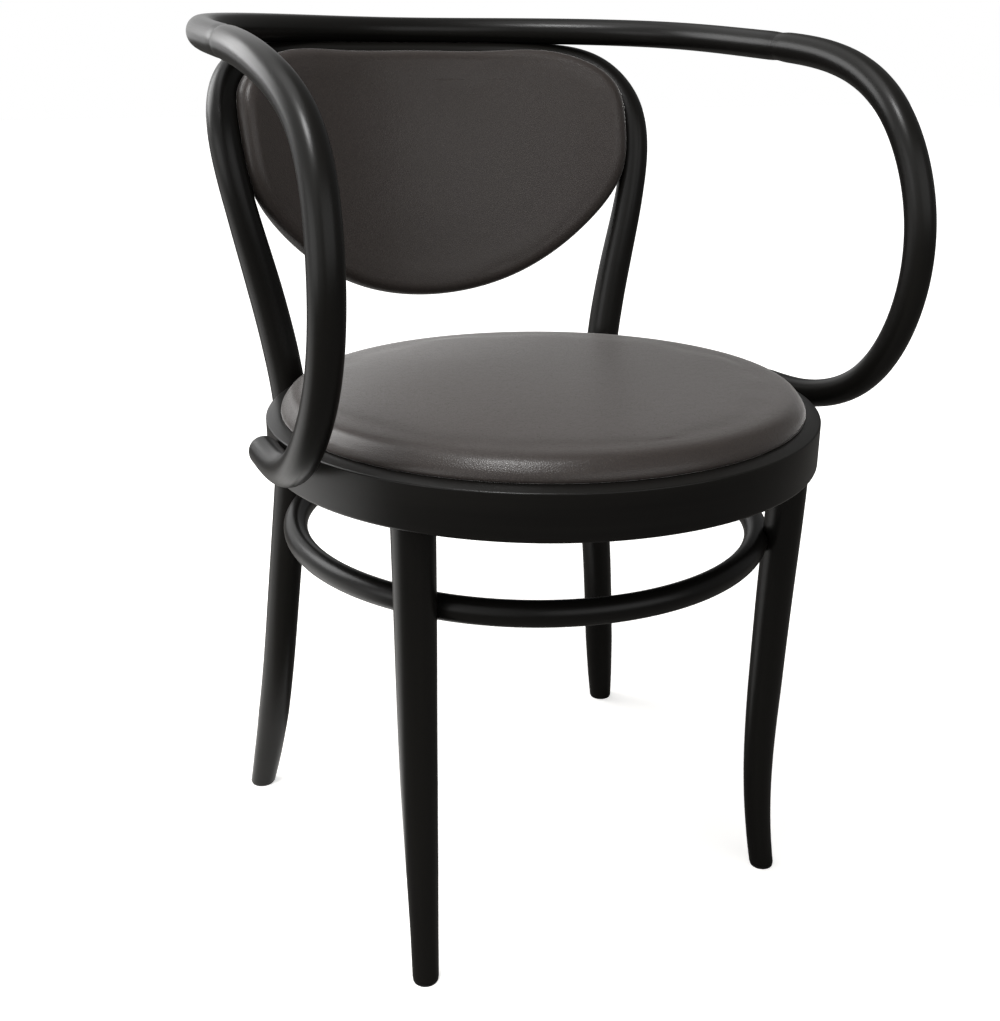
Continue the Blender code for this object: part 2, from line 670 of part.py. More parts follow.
# Hoop screws: from inside the hoop into each leg
for side_name, side in SIDES:
    for place_name, leg_at, body in (("front", front_at, legs[side_name]), ("rear", rear_at, loop)):
        way = np.array([leg_at[0] * side, leg_at[1] - hoop_y, 0])
        leg_away = np.linalg.norm(way)
        way /= leg_away
        radius = leg_radius(leg_at) if place_name == "front" else loop_radius(leg_at)
        let_in = HOOP_LET_FRONT if place_name == "front" else HOOP_LET_REAR
        rod_middle = leg_away - radius - ROD_HOOP / 2 + let_in
        head_at = np.array([0, hoop_y, HOOP_HEIGHT]) + way * (rod_middle - ROD_HOOP / 2 + 0.0012)
        wood_screw(f"hoop_screw_{place_name}_{side_name}", head_at, way, ROD_HOOP + 0.014, (hoop, body))

# Bolts from inside the seat ring into the rear legs, and screws into the arm ends
for side_name, side in SIDES:
    way = np.array([math.cos(REAR_ANGLE) * side, math.sin(REAR_ANGLE), 0])
    washer_thick = 0.0014
    face = RING_INNER - 0.0006
    washer = [(BOLT * 0.55, -washer_thick), (BOLT * 1.3, -washer_thick), (BOLT * 1.3, 0), (BOLT * 0.55, 0)]
    washer_at = way * face + np.array([0, 0, RING_MIDDLE])
    spun(f"rear_bolt_washer_{side_name}", washer, STEEL, SCREW_STEPS, True, aimed(washer_at, way))
    bolt_at = way * (face - washer_thick - GAP) + np.array([0, 0, RING_MIDDLE])
    bolt_long = REAR_OUT + 0.006 - face
    pan_screw(f"rear_bolt_{side_name}", bolt_at, way, bolt_long, (ring, loop), BOLT)
    turn = math.radians(-3)
    way = np.array([math.cos(turn) * side, math.sin(turn), 0])
    screw_at = way * (RING_INNER - 0.0007) + np.array([0, 0, ARM_END_Z])
    arm_long = RING_WIDE + ROD_ARM * 0.7
    pan_screw(f"arm_end_screw_{side_name}", screw_at, way, arm_long, (ring, arms[side_name]), 0.0045)

# Screws up through the top of the loop into the back rail
for side_name, side in SIDES:
    low_at = nearest(LOOP_LINE, 0.055 * side)
    high_at = nearest(ARM_BOW[600:1201], 0.055 * side)
    way = (high_at - low_at) / np.linalg.norm(high_at - low_at)
    head_at = low_at - way * (ROD_BACK / 2 - 0.0012)
    wood_screw(f"rail_screw_{side_name}", head_at, way, ROD_BACK + ROD_RAIL * 0.6, (loop, rail))

# Screws from behind through the loop into the board of the back pad
board_deep = (ply_rear + ply_front) / 2
for side_name, side in SIDES:
    top_from = nearest(LOOP_LINE, BACK_SCREW_SPREAD * side)
    top_to = np.array(pad_point(BACK_SCREW_SPREAD * side, LOOP_TOP - BACK_SCREW_DROP, board_deep))
    side_z = RING_TOP + 0.60 * LOOP_RISE
    side_from = sided(at_height(LOOP_RIGHT, side_z), side)
    side_to = np.array(pad_point((PAD_HALF - BACK_SCREW_EDGE) * side, side_z, board_deep))
    for place_name, start, goal in (("top", top_from, top_to), ("side", side_from, side_to)):
        way = goal - start
        reach = np.linalg.norm(way)
        way /= reach
        head_at = start - way * (ROD_BACK / 2 - 0.0012)
        screw_long = reach + ROD_BACK / 2 + 0.002
        bodies = (loop, back_cover, back_board)
        wood_screw(f"back_screw_{place_name}_{side_name}", head_at, way, screw_long, bodies, 0.0035)

# Screws up through the seat ring into the seat board
screw_radius = SEAT_RADIUS - RING_WIDE / 2
head_rise = RING_DEEP / 2
for place_name, turn in (("rear_left", 25), ("rear_right", 155), ("front_left", -65), ("front_right", -115)):
    angle = math.radians(turn)
    place = (screw_radius * math.cos(angle), screw_radius * math.sin(angle), RING_BOTTOM + head_rise)
    long = RING_DEEP - head_rise + GAP + LEATHER + GAP + SEAT_PLY * 0.75
    wood_screw(f"seat_screw_{place_name}", place, (0, 0, 1), long, (ring, seat_cover, seat_board))

# Feet: cut level, each with a nailed glide
floor_box = bpy.data.meshes.new("floor_cut")
form = bmesh.new()
bmesh.ops.create_cube(form, size=1.0)
bmesh.ops.scale(form, vec=(0.8, 0.8, 0.1), verts=form.verts)
bmesh.ops.translate(form, vec=(0, 0, GLIDE_HIGH + GAP - 0.05), verts=form.verts)
form.to_mesh(floor_box)
form.free()
floor_cut = keep(placed(bpy.data.objects.new("floor_cut", floor_box)), "floor_cut", None)
cut(loop, floor_cut)
nail = 0.0011
nail_long = 0.012
for side_name, side in SIDES:
    cut(legs[side_name], floor_cut)
    for place_name, axis, body, foot in (
        ("front", LEG_AXIS, legs[side_name], LEG_FOOT),
        ("rear", LOOP_RIGHT, loop, REAR_FOOT),
    ):
        foot_at = sided(at_height(axis, GLIDE_HIGH), side)
        frame = Matrix.Translation((foot_at[0], foot_at[1], 0))
        wide = foot / 2 - 0.0003
        profile = [(0, 0), (wide - 0.0012, 0), (wide, 0.0012), (wide, GLIDE_HIGH), (nail, GLIDE_HIGH)]
        profile += [(nail, GLIDE_HIGH + nail_long - 0.002), (0, GLIDE_HIGH + nail_long)]
        spun(f"glide_{place_name}_{side_name}", profile, PLASTIC, SCREW_STEPS, False, frame)
        name = f"nail_hole_{place_name}_{side_name}"
        cut(body, cylinder(name, nail + GAP, -0.002, GLIDE_HIGH + nail_long + GAP, frame))
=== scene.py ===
import math

import bpy
import numpy as np
from mathutils import Matrix, Vector


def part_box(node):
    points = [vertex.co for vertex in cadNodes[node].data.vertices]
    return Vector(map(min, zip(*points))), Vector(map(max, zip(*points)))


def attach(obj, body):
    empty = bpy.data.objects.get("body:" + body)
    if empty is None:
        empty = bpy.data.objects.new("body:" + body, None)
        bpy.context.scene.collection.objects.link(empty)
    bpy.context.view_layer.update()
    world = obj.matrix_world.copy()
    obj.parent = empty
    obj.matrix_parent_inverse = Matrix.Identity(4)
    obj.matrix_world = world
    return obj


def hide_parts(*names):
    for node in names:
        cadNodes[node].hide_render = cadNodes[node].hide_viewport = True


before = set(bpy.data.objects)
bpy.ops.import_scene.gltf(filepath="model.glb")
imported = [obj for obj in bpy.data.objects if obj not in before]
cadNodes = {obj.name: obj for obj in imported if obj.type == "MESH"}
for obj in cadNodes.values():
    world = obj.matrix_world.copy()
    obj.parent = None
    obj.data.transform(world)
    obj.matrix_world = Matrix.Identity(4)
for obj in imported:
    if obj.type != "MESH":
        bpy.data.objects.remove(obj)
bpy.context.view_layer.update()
scene = bpy.context.scene
pieces = []
print("frame loaded with", len(cadNodes), "nodes")

ringLow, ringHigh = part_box("seat_ring")
seatMiddle = (ringLow + ringHigh) / 2  # the axis of the seat, all lines below are measured from it
ringRadius = (ringHigh.x - ringLow.x) / 2
seam = 0.0003  # metres left between touching pieces
footCut = 0.0023  # the rods are sawn this far above the floor, over their glides
footEase = 0.0014
rodStep = 0.004  # spacing of the points along a rod


def deselect():
    if bpy.context.object and bpy.context.object.mode != "OBJECT":
        bpy.ops.object.mode_set(mode="OBJECT")
    bpy.ops.object.select_all(action="DESELECT")


def pick(piece):  # makes it the only selected object
    deselect()
    piece.select_set(True)
    bpy.context.view_layer.objects.active = piece


def editAll(piece):
    pick(piece)
    bpy.ops.object.mode_set(mode="EDIT")
    bpy.ops.mesh.select_all(action="SELECT")


def weld(piece):
    editAll(piece)
    bpy.ops.mesh.remove_doubles(threshold=0.00001)
    bpy.ops.mesh.normals_make_consistent(inside=False)
    bpy.ops.object.mode_set(mode="OBJECT")


def modify(piece, kind, **settings):  # adds a modifier and applies it
    pick(piece)
    made = piece.modifiers.new(kind.title(), kind)
    for key, value in settings.items():
        setattr(made, key, value)
    bpy.ops.object.modifier_apply(modifier=made.name)


def cutAway(piece, cutter, last=True):
    modify(piece, "BOOLEAN", operation="DIFFERENCE", solver="EXACT", object=cutter)
    if last:
        bpy.data.objects.remove(cutter, do_unlink=True)


def smooth(piece, degrees=35):
    pick(piece)
    bpy.ops.object.shade_smooth_by_angle(angle=math.radians(degrees))


def pointsOf(piece):
    flat = np.empty(len(piece.data.vertices) * 3)
    piece.data.vertices.foreach_get("co", flat)
    return flat.reshape(-1, 3)


def setPoints(piece, points):
    piece.data.vertices.foreach_set("co", np.asarray(points, float).ravel())
    piece.data.update()


def selectOnly(piece, edges=(), faces=()):
    pick(piece)
    mesh = piece.data
    for part in (mesh.vertices, mesh.edges, mesh.polygons):
        part.foreach_set("select", [False] * len(part))
    for i in edges:
        mesh.edges[i].select = True
        for v in mesh.edges[i].vertices:
            mesh.vertices[v].select = True
    for i in faces:
        mesh.polygons[i].select = True
    bpy.ops.object.mode_set(mode="EDIT")
    bpy.ops.mesh.select_mode(type="FACE" if len(faces) else "EDGE")


def openEdges(piece):  # edges with only one face
    uses = {}
    for face in piece.data.polygons:
        for key in face.edge_keys:
            uses[key] = uses.get(key, 0) + 1
    return [edge.index for edge in piece.data.edges if uses.get(edge.key, 0) == 1]


def splineThrough(points, count):  # natural cubic spline, the line a bent rod takes between its stops
    p = np.array(points, float)
    step = np.linalg.norm(np.diff(p, axis=0), axis=1)
    last = len(p) - 1
    system = np.eye(last + 1)
    right = np.zeros_like(p)
    for i in range(1, last):
        system[i, i - 1 : i + 2] = step[i - 1], 2 * (step[i - 1] + step[i]), step[i]
        right[i] = 6 * ((p[i + 1] - p[i]) / step[i] - (p[i] - p[i - 1]) / step[i - 1])
    curl = np.linalg.solve(system, right)
    stops = np.concatenate([[0], np.cumsum(step)])
    t = np.linspace(0, stops[-1], count)
    k = np.clip(np.searchsorted(stops, t, side="right") - 1, 0, last - 1)
    h = step[k][:, None]
    a = (stops[k + 1] - t)[:, None]
    b = (t - stops[k])[:, None]
    line = (curl[k] * a**3 + curl[k + 1] * b**3) / (6 * h)
    return line + (p[k] / h - curl[k] * h / 6) * a + (p[k + 1] / h - curl[k + 1] * h / 6) * b


def lengthAlong(line):
    return np.concatenate([[0], np.cumsum(np.linalg.norm(np.diff(line, axis=0), axis=1))])


def placesAt(stops, along, line):  # points at these lengths along a line
    return np.stack([np.interp(stops, along, line[:, i]) for i in range(3)], axis=1)


def evenly(line):
    along = lengthAlong(line)
    return placesAt(np.linspace(0, along[-1], int(along[-1] / rodStep)), along, line)


def bothSides(half):  # a symmetric line from the half that starts on the middle plane
    return [(-x, y, z) for x, y, z in reversed(half[1:])] + list(half)


def onChair(points):
    return np.array(points, float) + np.array((seatMiddle.x, seatMiddle.y, 0))


def mirrorLine(line, side):
    return np.array(line) * np.array((side, 1, 1))


def ovalLine(middle, reachX, reachY, turns):
    x = middle.x + reachX * np.cos(turns)
    y = middle.y + reachY * np.sin(turns)
    return np.stack([x, y, np.full(len(turns), middle.z)], axis=1)


def drawLine(name, line, closed=False, radii=None, sides=40):  # a thin path, or a rod where radii are given
    deselect()
    bpy.ops.curve.primitive_nurbs_path_add()
    curve = bpy.context.object.data
    curve.splines.clear()
    spline = curve.splines.new("POLY")
    spline.points.add(len(line) - 1)
    for point, place in zip(spline.points, line):
        point.co = (*place, 1)
    spline.use_cyclic_u = closed
    if radii is not None:
        curve.bevel_depth = 0.01
        curve.bevel_resolution = sides // 2 - 2
        curve.use_fill_caps = not closed
        for point, radius in zip(spline.points, radii):
            point.radius = radius / 0.01
    bpy.ops.object.convert(target="MESH")
    piece = bpy.context.object
    piece.name = piece.data.name = name
    if radii is not None:
        weld(piece)
    return piece


def turnProfile(name, profile, steps, middle, closed=False):  # a profile of radius and height, spun round
    piece = drawLine(name, [(middle[0] + r, middle[1], z) for r, z in profile], closed)
    editAll(piece)
    bpy.ops.mesh.spin(steps=steps, angle=2 * math.pi, center=(middle[0], middle[1], 0), axis=(0, 0, 1))
    weld(piece)
    return piece


def extrudeRings(name, rings):  # the first ring is drawn, then extruded from ring to ring
    piece = drawLine(name, rings[0], closed=True)
    editAll(piece)
    for last, ring in zip(rings, rings[1:]):
        bpy.ops.mesh.extrude_region()
        bpy.ops.object.mode_set(mode="OBJECT")
        points = pointsOf(piece)
        fresh = points[-len(ring) :]
        points[-len(ring) :] = ring[((fresh[:, None] - last[None]) ** 2).sum(2).argmin(1)]
        setPoints(piece, points)
        bpy.ops.object.mode_set(mode="EDIT")
    bpy.ops.object.mode_set(mode="OBJECT")
    return piece


def copyPiece(piece, name, move):
    made = piece.copy()
    made.data = piece.data.copy()
    made.name = made.data.name = name
    made.data.transform(move)
    scene.collection.objects.link(made)
    return made


def rounded(corners, steps=6):  # (x, y, radius) corners made into a profile with round corners
    made = []
    count = len(corners)
    for i, (x, y, radius) in enumerate(corners):
        here = Vector((x, y))
        before = (Vector(corners[i - 1][:2]) - here).normalized()
        after = (Vector(corners[(i + 1) % count][:2]) - here).normalized()
        half = before.angle(after) / 2
        reach = radius / math.tan(half)
        middle = here + (before + after).normalized() * (radius / math.sin(half))
        start = here + before * reach - middle
        end = here + after * reach - middle
        for k in range(steps + 1):
            spot = start.lerp(end, k / steps).normalized() * radius + middle
            made.append((spot.x, spot.y))
    return made


def markGrain(piece, line):  # unrolled place on the rod, so that the grain follows the bend
    way = np.gradient(line, axis=0)
    way /= np.linalg.norm(way, axis=1)[:, None]
    side = np.cross(way[0], (0.3, 0.5, 0.8))
    across = [side / np.linalg.norm(side)]
    for i in range(1, len(line)):
        step = across[-1] - way[i] * (across[-1] @ way[i])
        across.append(step / np.linalg.norm(step))
    across = np.array(across)
    other = np.cross(way, across)
    along = lengthAlong(line)
    points = pointsOf(piece)
    near = [((p[:, None] - line[None]) ** 2).sum(2).argmin(1) for p in np.array_split(points, 40)]
    near = np.concatenate(near)
    out = points - line[near]
    place = np.stack([(out * across[near]).sum(1), (out * other[near]).sum(1)], axis=1)
    place = np.column_stack([place, along[near] + (out * way[near]).sum(1)])
    grain = piece.data.attributes.new("grain", "FLOAT_VECTOR", "POINT")
    grain.data.foreach_set("vector", place.astype(np.float32).ravel())


def dress(piece, material, slot, *stoodFor):
    piece.data.materials.clear()
    piece.data.materials.append(material)
    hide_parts(*stoodFor)
    pieces.append(piece)


# Materials

def linearColour(text):  # sRGB hex to the linear values that a shader takes
    parts = [int(text[i : i + 2], 16) / 255 for i in (1, 3, 5)]
    return tuple(c / 12.92 if c < 0.04045 else ((c + 0.055) / 1.055) ** 2.4 for c in parts) + (1.0,)


def addNode(tree, kind, links=None, stops=(), **settings):  # values are set, sockets are linked
    node = tree.nodes.new(kind)
    for key, value in settings.items():
        setattr(node, key, value)
    for key, value in (links or {}).items():
        if isinstance(value, bpy.types.NodeSocket):
            tree.links.new(value, node.inputs[key])
        else:
            node.inputs[key].default_value = value
    for index, (position, text) in enumerate(stops):  # the colours of a ramp
        ramp = node.color_ramp.elements
        stop = ramp[index] if index < len(ramp) else ramp.new(position)
        stop.position, stop.color = position, linearColour(text)
    return node


def newMaterial(name, **shaderValues):
    made = bpy.data.materials.new(name)
    made.use_nodes = True
    shader = made.node_tree.nodes["Principled BSDF"]
    for key, value in shaderValues.items():
        shader.inputs[key.replace("_", " ")].default_value = value
    return made, made.node_tree, shader


def perMetre(millimetres):  # texture scale for a feature of this size
    return 1000 / millimetres


# Steamed beech, bent, stained black and satin lacquered: nearly black, soft long lights, faint long pores
beechLook = {"dark": "#0d0c0b", "light": "#141311", "poreWidth": 0.8, "poreLength": 26, "shadeWidth": 14}


def stainedBeech():
    made, tree, shader = newMaterial("blackStainedBeech", Specular_IOR_Level=0.2)
    grain = addNode(tree, "ShaderNodeAttribute", attribute_name="grain").outputs["Vector"]
    stretch = beechLook["poreWidth"] / beechLook["poreLength"]
    place = addNode(tree, "ShaderNodeMapping", {"Vector": grain, "Scale": (1, 1, stretch)}).outputs["Vector"]
    fine = perMetre(beechLook["poreWidth"])
    broad = perMetre(beechLook["shadeWidth"])
    pores = addNode(tree, "ShaderNodeTexNoise", {"Vector": place, "Scale": fine, "Detail": 3.0})
    shade = addNode(tree, "ShaderNodeTexNoise", {"Vector": place, "Scale": broad, "Detail": 2.0})
    pores, shade = pores.outputs["Fac"], shade.outputs["Fac"]
    colour = addNode(
        tree,
        "ShaderNodeValToRGB",
        {"Fac": shade},
        stops=[(0.3, beechLook["dark"]), (0.7, beechLook["light"])],
    )
    tree.links.new(colour.outputs["Color"], shader.inputs["Base Color"])
    gloss = addNode(tree, "ShaderNodeMapRange", {"Value": pores, "To Min": 0.27, "To Max": 0.35})
    tree.links.new(gloss.outputs["Result"], shader.inputs["Roughness"])
    bump = addNode(tree, "ShaderNodeBump", {"Height": pores, "Strength": 0.1, "Distance": 0.0002})
    tree.links.new(bump.outputs["Normal"], shader.inputs["Normal"])
    return made


# Pigmented cowhide with an embossed pebble: dark brown-grey, satin, paler at a low angle, in small cells with
# painted shade in the creases between them
hideLook = {"dark": "#38332f", "light": "#3d3835", "creaseShade": "#2f2a28", "pebble": 1.6, "fold": 9, "tone": 90}
# a real pebble is about 1.2 mm, drawn at 1.6 mm so that it shows in the picture


def pebbledHide():
    made, tree, shader = newMaterial(
        "pebbledHide", Specular_IOR_Level=0.3, Sheen_Weight=0.65, Sheen_Roughness=0.3
    )
    shader.inputs["Sheen Tint"].default_value = linearColour("#f2efed")
    place = addNode(tree, "ShaderNodeTexCoord").outputs["Object"]
    foldScale, toneScale = perMetre(hideLook["fold"]), perMetre(hideLook["tone"])
    fold = addNode(tree, "ShaderNodeTexNoise", {"Vector": place, "Scale": foldScale, "Detail": 2.0})
    moved = addNode(
        tree,
        "ShaderNodeMix",
        {"Factor": 0.0012, "A": place, "B": fold.outputs["Color"]},
        data_type="VECTOR",
    )
    cells = addNode(
        tree,
        "ShaderNodeTexVoronoi",
        {"Vector": moved.outputs["Result"], "Scale": perMetre(hideLook["pebble"])},
        feature="DISTANCE_TO_EDGE",
    )
    swell = addNode(
        tree,
        "ShaderNodeMapRange",
        {"Value": cells.outputs["Distance"], "From Max": 0.35},
        interpolation_type="SMOOTHSTEP",
    ).outputs["Result"]
    tone = addNode(tree, "ShaderNodeTexNoise", {"Vector": place, "Scale": toneScale, "Detail": 3.0})
    colour = addNode(
        tree,
        "ShaderNodeValToRGB",
        {"Fac": tone.outputs["Fac"]},
        stops=[(0.35, hideLook["dark"]), (0.65, hideLook["light"])],
    )
    # painted shade: the creases between the pebble cells take a darker colour
    shadedCreases = addNode(
        tree,
        "ShaderNodeMix",
        {"Factor": swell, "A": linearColour(hideLook["creaseShade"]), "B": colour.outputs["Color"]},
        data_type="RGBA",
    )
    tree.links.new(shadedCreases.outputs["Result"], shader.inputs["Base Color"])
    gloss = addNode(tree, "ShaderNodeMapRange", {"Value": swell, "To Min": 0.36, "To Max": 0.27})
    tree.links.new(gloss.outputs["Result"], shader.inputs["Roughness"])
    pebble = addNode(tree, "ShaderNodeBump", {"Height": swell, "Strength": 0.2, "Distance": 0.0003})
    soft = addNode(
        tree,
        "ShaderNodeBump",
        {
            "Height": fold.outputs["Fac"],
            "Strength": 0.1,
            "Distance": 0.001,
            "Normal": pebble.outputs["Normal"],
        },
    )
    tree.links.new(soft.outputs["Normal"], shader.inputs["Normal"])
    return made


# Planed beech, bare inside the joints: pale, with short dark flecks
def planedBeech():
    made, tree, shader = newMaterial("planedBeech", Roughness=0.6)
    place = addNode(tree, "ShaderNodeTexCoord").outputs["Object"]
    fleck = addNode(tree, "ShaderNodeTexNoise", {"Vector": place, "Scale": perMetre(2), "Detail": 4.0})
    colour = addNode(
        tree, "ShaderNodeValToRGB", {"Fac": fleck.outputs["Fac"]}, stops=[(0.3, "#b88a5c"), (0.7, "#cfa476")]
    )
    tree.links.new(colour.outputs["Color"], shader.inputs["Base Color"])
    return made


# Rotary-cut birch plywood, pressed: pale bands where the plies show, a streaky face
def birchPlywood():
    made, tree, shader = newMaterial("birchPlywood", Roughness=0.65)
    place = addNode(tree, "ShaderNodeTexCoord").outputs["Object"]
    plies = addNode(
        tree,
        "ShaderNodeTexWave",
        {"Vector": place, "Scale": perMetre(2.6) / 20, "Distortion": 0.4, "Detail": 1.0},  # 1.3 mm plies
        bands_direction="Z",
    )
    colour = addNode(
        tree, "ShaderNodeValToRGB", {"Fac": plies.outputs["Fac"]}, stops=[(0.2, "#b98f5f"), (0.8, "#d8b98c")]
    )
    tree.links.new(colour.outputs["Color"], shader.inputs["Base Color"])
    return made


# Injection-moulded black nylon: even, slightly grey, fine mould grit
def mouldedNylon():
    made, tree, shader = newMaterial("mouldedNylon", Roughness=0.55)
    place = addNode(tree, "ShaderNodeTexCoord").outputs["Object"]
    grit = addNode(tree, "ShaderNodeTexNoise", {"Vector": place, "Scale": perMetre(0.5), "Detail": 2.0})
    grit = grit.outputs["Fac"]
    colour = addNode(tree, "ShaderNodeValToRGB", {"Fac": grit}, stops=[(0.3, "#151515"), (0.7, "#1e1e1e")])
    tree.links.new(colour.outputs["Color"], shader.inputs["Base Color"])
    bump = addNode(tree, "ShaderNodeBump", {"Height": grit, "Strength": 0.2, "Distance": 0.0001})
    tree.links.new(bump.outputs["Normal"], shader.inputs["Normal"])
    return made


# Steel with a black oxide finish: dark grey metal with a cloudy, oily gloss
def blackedSteel():
    made, tree, shader = newMaterial("blackedSteel", Metallic=1.0)
    place = addNode(tree, "ShaderNodeTexCoord").outputs["Object"]
    cloud = addNode(tree, "ShaderNodeTexNoise", {"Vector": place, "Scale": perMetre(3), "Detail": 3.0})
    cloud = cloud.outputs["Fac"]
    colour = addNode(tree, "ShaderNodeValToRGB", {"Fac": cloud}, stops=[(0.3, "#262729"), (0.7, "#37393b")])
    tree.links.new(colour.outputs["Color"], shader.inputs["Base Color"])
    gloss = addNode(tree, "ShaderNodeMapRange", {"Value": cloud, "To Min": 0.35, "To Max": 0.5})
    tree.links.new(gloss.outputs["Result"], shader.inputs["Roughness"])
    return made


# Spun-bonded black polypropylene: matt cloth with a grid of pressed dots
def spunDustCloth():
    made, tree, shader = newMaterial("spunDustCloth", Roughness=0.9, Specular_IOR_Level=0.2)
    place = addNode(tree, "ShaderNodeTexCoord").outputs["Object"]
    dots = addNode(
        tree,
        "ShaderNodeTexVoronoi",
        {"Vector": place, "Scale": perMetre(1.8), "Randomness": 0.15},
        feature="F1",
    ).outputs["Distance"]
    colour = addNode(tree, "ShaderNodeValToRGB", {"Fac": dots}, stops=[(0.1, "#0f0f0f"), (0.5, "#1d1d1d")])
    tree.links.new(colour.outputs["Color"], shader.inputs["Base Color"])
    bump = addNode(tree, "ShaderNodeBump", {"Height": dots, "Strength": 0.3, "Distance": 0.0003})
    tree.links.new(bump.outputs["Normal"], shader.inputs["Normal"])
    return made


beech = stainedBeech()
hide = pebbledHide()
bareBeech = planedBeech()
plywood = birchPlywood()
nylon = mouldedNylon()
steel = blackedSteel()
dustCloth = spunDustCloth()
carriedOver = {
    "arm_dowel": bareBeech,
    "seat_board": plywood,
    "back_board": plywood,
    "rear_bolt_washer": steel,
}
for name, node in cadNodes.items():
    for start, look in carriedOver.items():
        if name.startswith(start):
            node.data.materials.clear()
            node.data.materials.append(look)
print("materials ready")

# Back loop: both rear legs and the back bow in one rod
loopSpec = {
    "half": [
        (0, 0.291, 0.7136),
        (0.070, 0.2815, 0.7136),
        (0.1325, 0.260, 0.7134),
        (0.1805, 0.2325, 0.7028),
        (0.2022, 0.2027, 0.6687),
        (0.2010, 0.1860, 0.6130),
        (0.1846, 0.1817, 0.5347),
        (0.1698, 0.1807, 0.4578),
        (0.1645, 0.1811, 0.4068),
        (0.1665, 0.1929, 0.3246),
        (0.1783, 0.1992, 0.2166),
        (0.1918, 0.2092, 0.0976),
        (0.2065, 0.2250, 0),
        (0.2086, 0.2274, -0.012),
    ],
    "heights": [0, 0.035, 0.085, 0.4018, 0.471, 0.5223, 0.5901],
    "sizes": [0.024, 0.0275, 0.0304, 0.0314, 0.0314, 0.0304, 0.0274],
}


def loopRadius(line):
    return np.interp(line[:, 2], loopSpec["heights"], loopSpec["sizes"]) / 2


def levelFeet(piece):  # saws the foot level and eases the sawn edge
    editAll(piece)
    bpy.ops.mesh.bisect(plane_co=(0, 0, footCut), plane_no=(0, 0, 1), use_fill=True, clear_inner=True)
    bpy.ops.object.mode_set(mode="OBJECT")
    low = pointsOf(piece)[:, 2] < footCut + 0.00002
    selectOnly(piece, faces=[f.index for f in piece.data.polygons if all(low[v] for v in f.vertices)])
    bpy.ops.mesh.region_to_loop()
    bpy.ops.mesh.bevel(offset=footEase, segments=3, affect="EDGES")
    bpy.ops.object.mode_set(mode="OBJECT")


loopLine = evenly(onChair(splineThrough(bothSides(loopSpec["half"]), 4001)))
backLoop = drawLine("backLoop", loopLine, radii=loopRadius(loopLine))
levelFeet(backLoop)
print("back loop bent")

# Front legs: turned taper with a slight sabre curve
legSpec = {
    "line": [
        (0.1706, -0.1208, 0.4015),
        (0.1706, -0.1208, 0.3898),
        (0.1697, -0.1176, 0.2877),
        (0.1690, -0.1150, 0.1917),
        (0.1685, -0.1157, 0.0960),
        (0.1726, -0.1270, 0),
        (0.1736, -0.1294, -0.012),
    ],
    "rise": [0, 0.10, 0.25, 0.45, 0.70, 1.0],  # share of the way up to the ring
    "share": [0, 0.12, 0.38, 0.68, 0.86, 1.0],  # of the way from the foot's size to the top's
    "foot": 0.0218,
    "top": 0.0334,
}


def legRadius(line):
    share = np.interp(line[:, 2] / ringLow.z, legSpec["rise"], legSpec["share"])
    return (legSpec["foot"] + (legSpec["top"] - legSpec["foot"]) * share) / 2


legLine = evenly(onChair(splineThrough(legSpec["line"], 2001)))
legs = {}
for sideName, side in (("Left", 1), ("Right", -1)):
    line = mirrorLine(legLine, side)
    legs[sideName] = drawLine("frontLeg" + sideName, line, radii=legRadius(line))
    levelFeet(legs[sideName])
print("front legs turned")

# Stretcher hoop: a bent ring inside the four legs
hoopSpec = {"points": 240, "sides": 32}
hoopLow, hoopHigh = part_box("stretcher_hoop")
hoopRod = (hoopHigh.z - hoopLow.z) / 2
hoopMiddle = (hoopLow + hoopHigh) / 2
hoopReach = (hoopHigh - hoopLow) / 2
hoopTurns = np.linspace(0, 2 * math.pi, hoopSpec["points"], endpoint=False) + math.pi / 2
hoopLine = ovalLine(hoopMiddle, hoopReach.x - hoopRod, hoopReach.y - hoopRod, hoopTurns)
hoop = drawLine("stretcherHoop", hoopLine, True, [hoopRod] * len(hoopLine), hoopSpec["sides"])
hoopSeat = drawLine("hoopSeat", hoopLine, True, [hoopRod + seam] * len(hoopLine), hoopSpec["sides"])
for piece in (legs["Left"], legs["Right"], backLoop):
    cutAway(piece, hoopSeat, last=piece == backLoop)
print("hoop let into the legs")

# Seat ring: one bent band with eased edges, notched where the loop passes
ringSpec = {
    "width": 0.034,
    "ease": 0.0028,
    "innerEase": 0.0015,
    "edgeEase": 0.0014,
    "crownReach": 0.0122,  # the top falls away this far in from the edge
    "crownFall": 0.0022,
    "crownEase": 0.03,
    "notchReach": 0.09,
    "points": 200,
}
ringProfile = rounded(
    [
        (ringRadius - ringSpec["width"], ringLow.z, ringSpec["innerEase"]),
        (ringRadius, ringLow.z, ringSpec["ease"]),
        (ringRadius, ringHigh.z - ringSpec["crownFall"], ringSpec["edgeEase"]),
        (ringRadius - ringSpec["crownReach"], ringHigh.z, ringSpec["crownEase"]),
        (ringRadius - ringSpec["width"], ringHigh.z, ringSpec["innerEase"]),
    ]
)
seatRing = turnProfile("seatRing", ringProfile, ringSpec["points"], seatMiddle, closed=True)
atRing = abs(loopLine[:, 2] - seatMiddle.z) < ringSpec["notchReach"]
for side in (1, -1):
    span = loopLine[(loopLine[:, 0] * side > 0) & atRing]
    cutAway(seatRing, drawLine("notch", span, radii=loopRadius(span) + seam))
bandMiddle = ringRadius - ringSpec["width"] / 2
ringTurns = np.linspace(0, 2 * math.pi, 2 * ringSpec["points"]) + math.pi / 2
ringLine = ovalLine(seatMiddle, bandMiddle, bandMiddle, ringTurns)
print("seat ring bent")

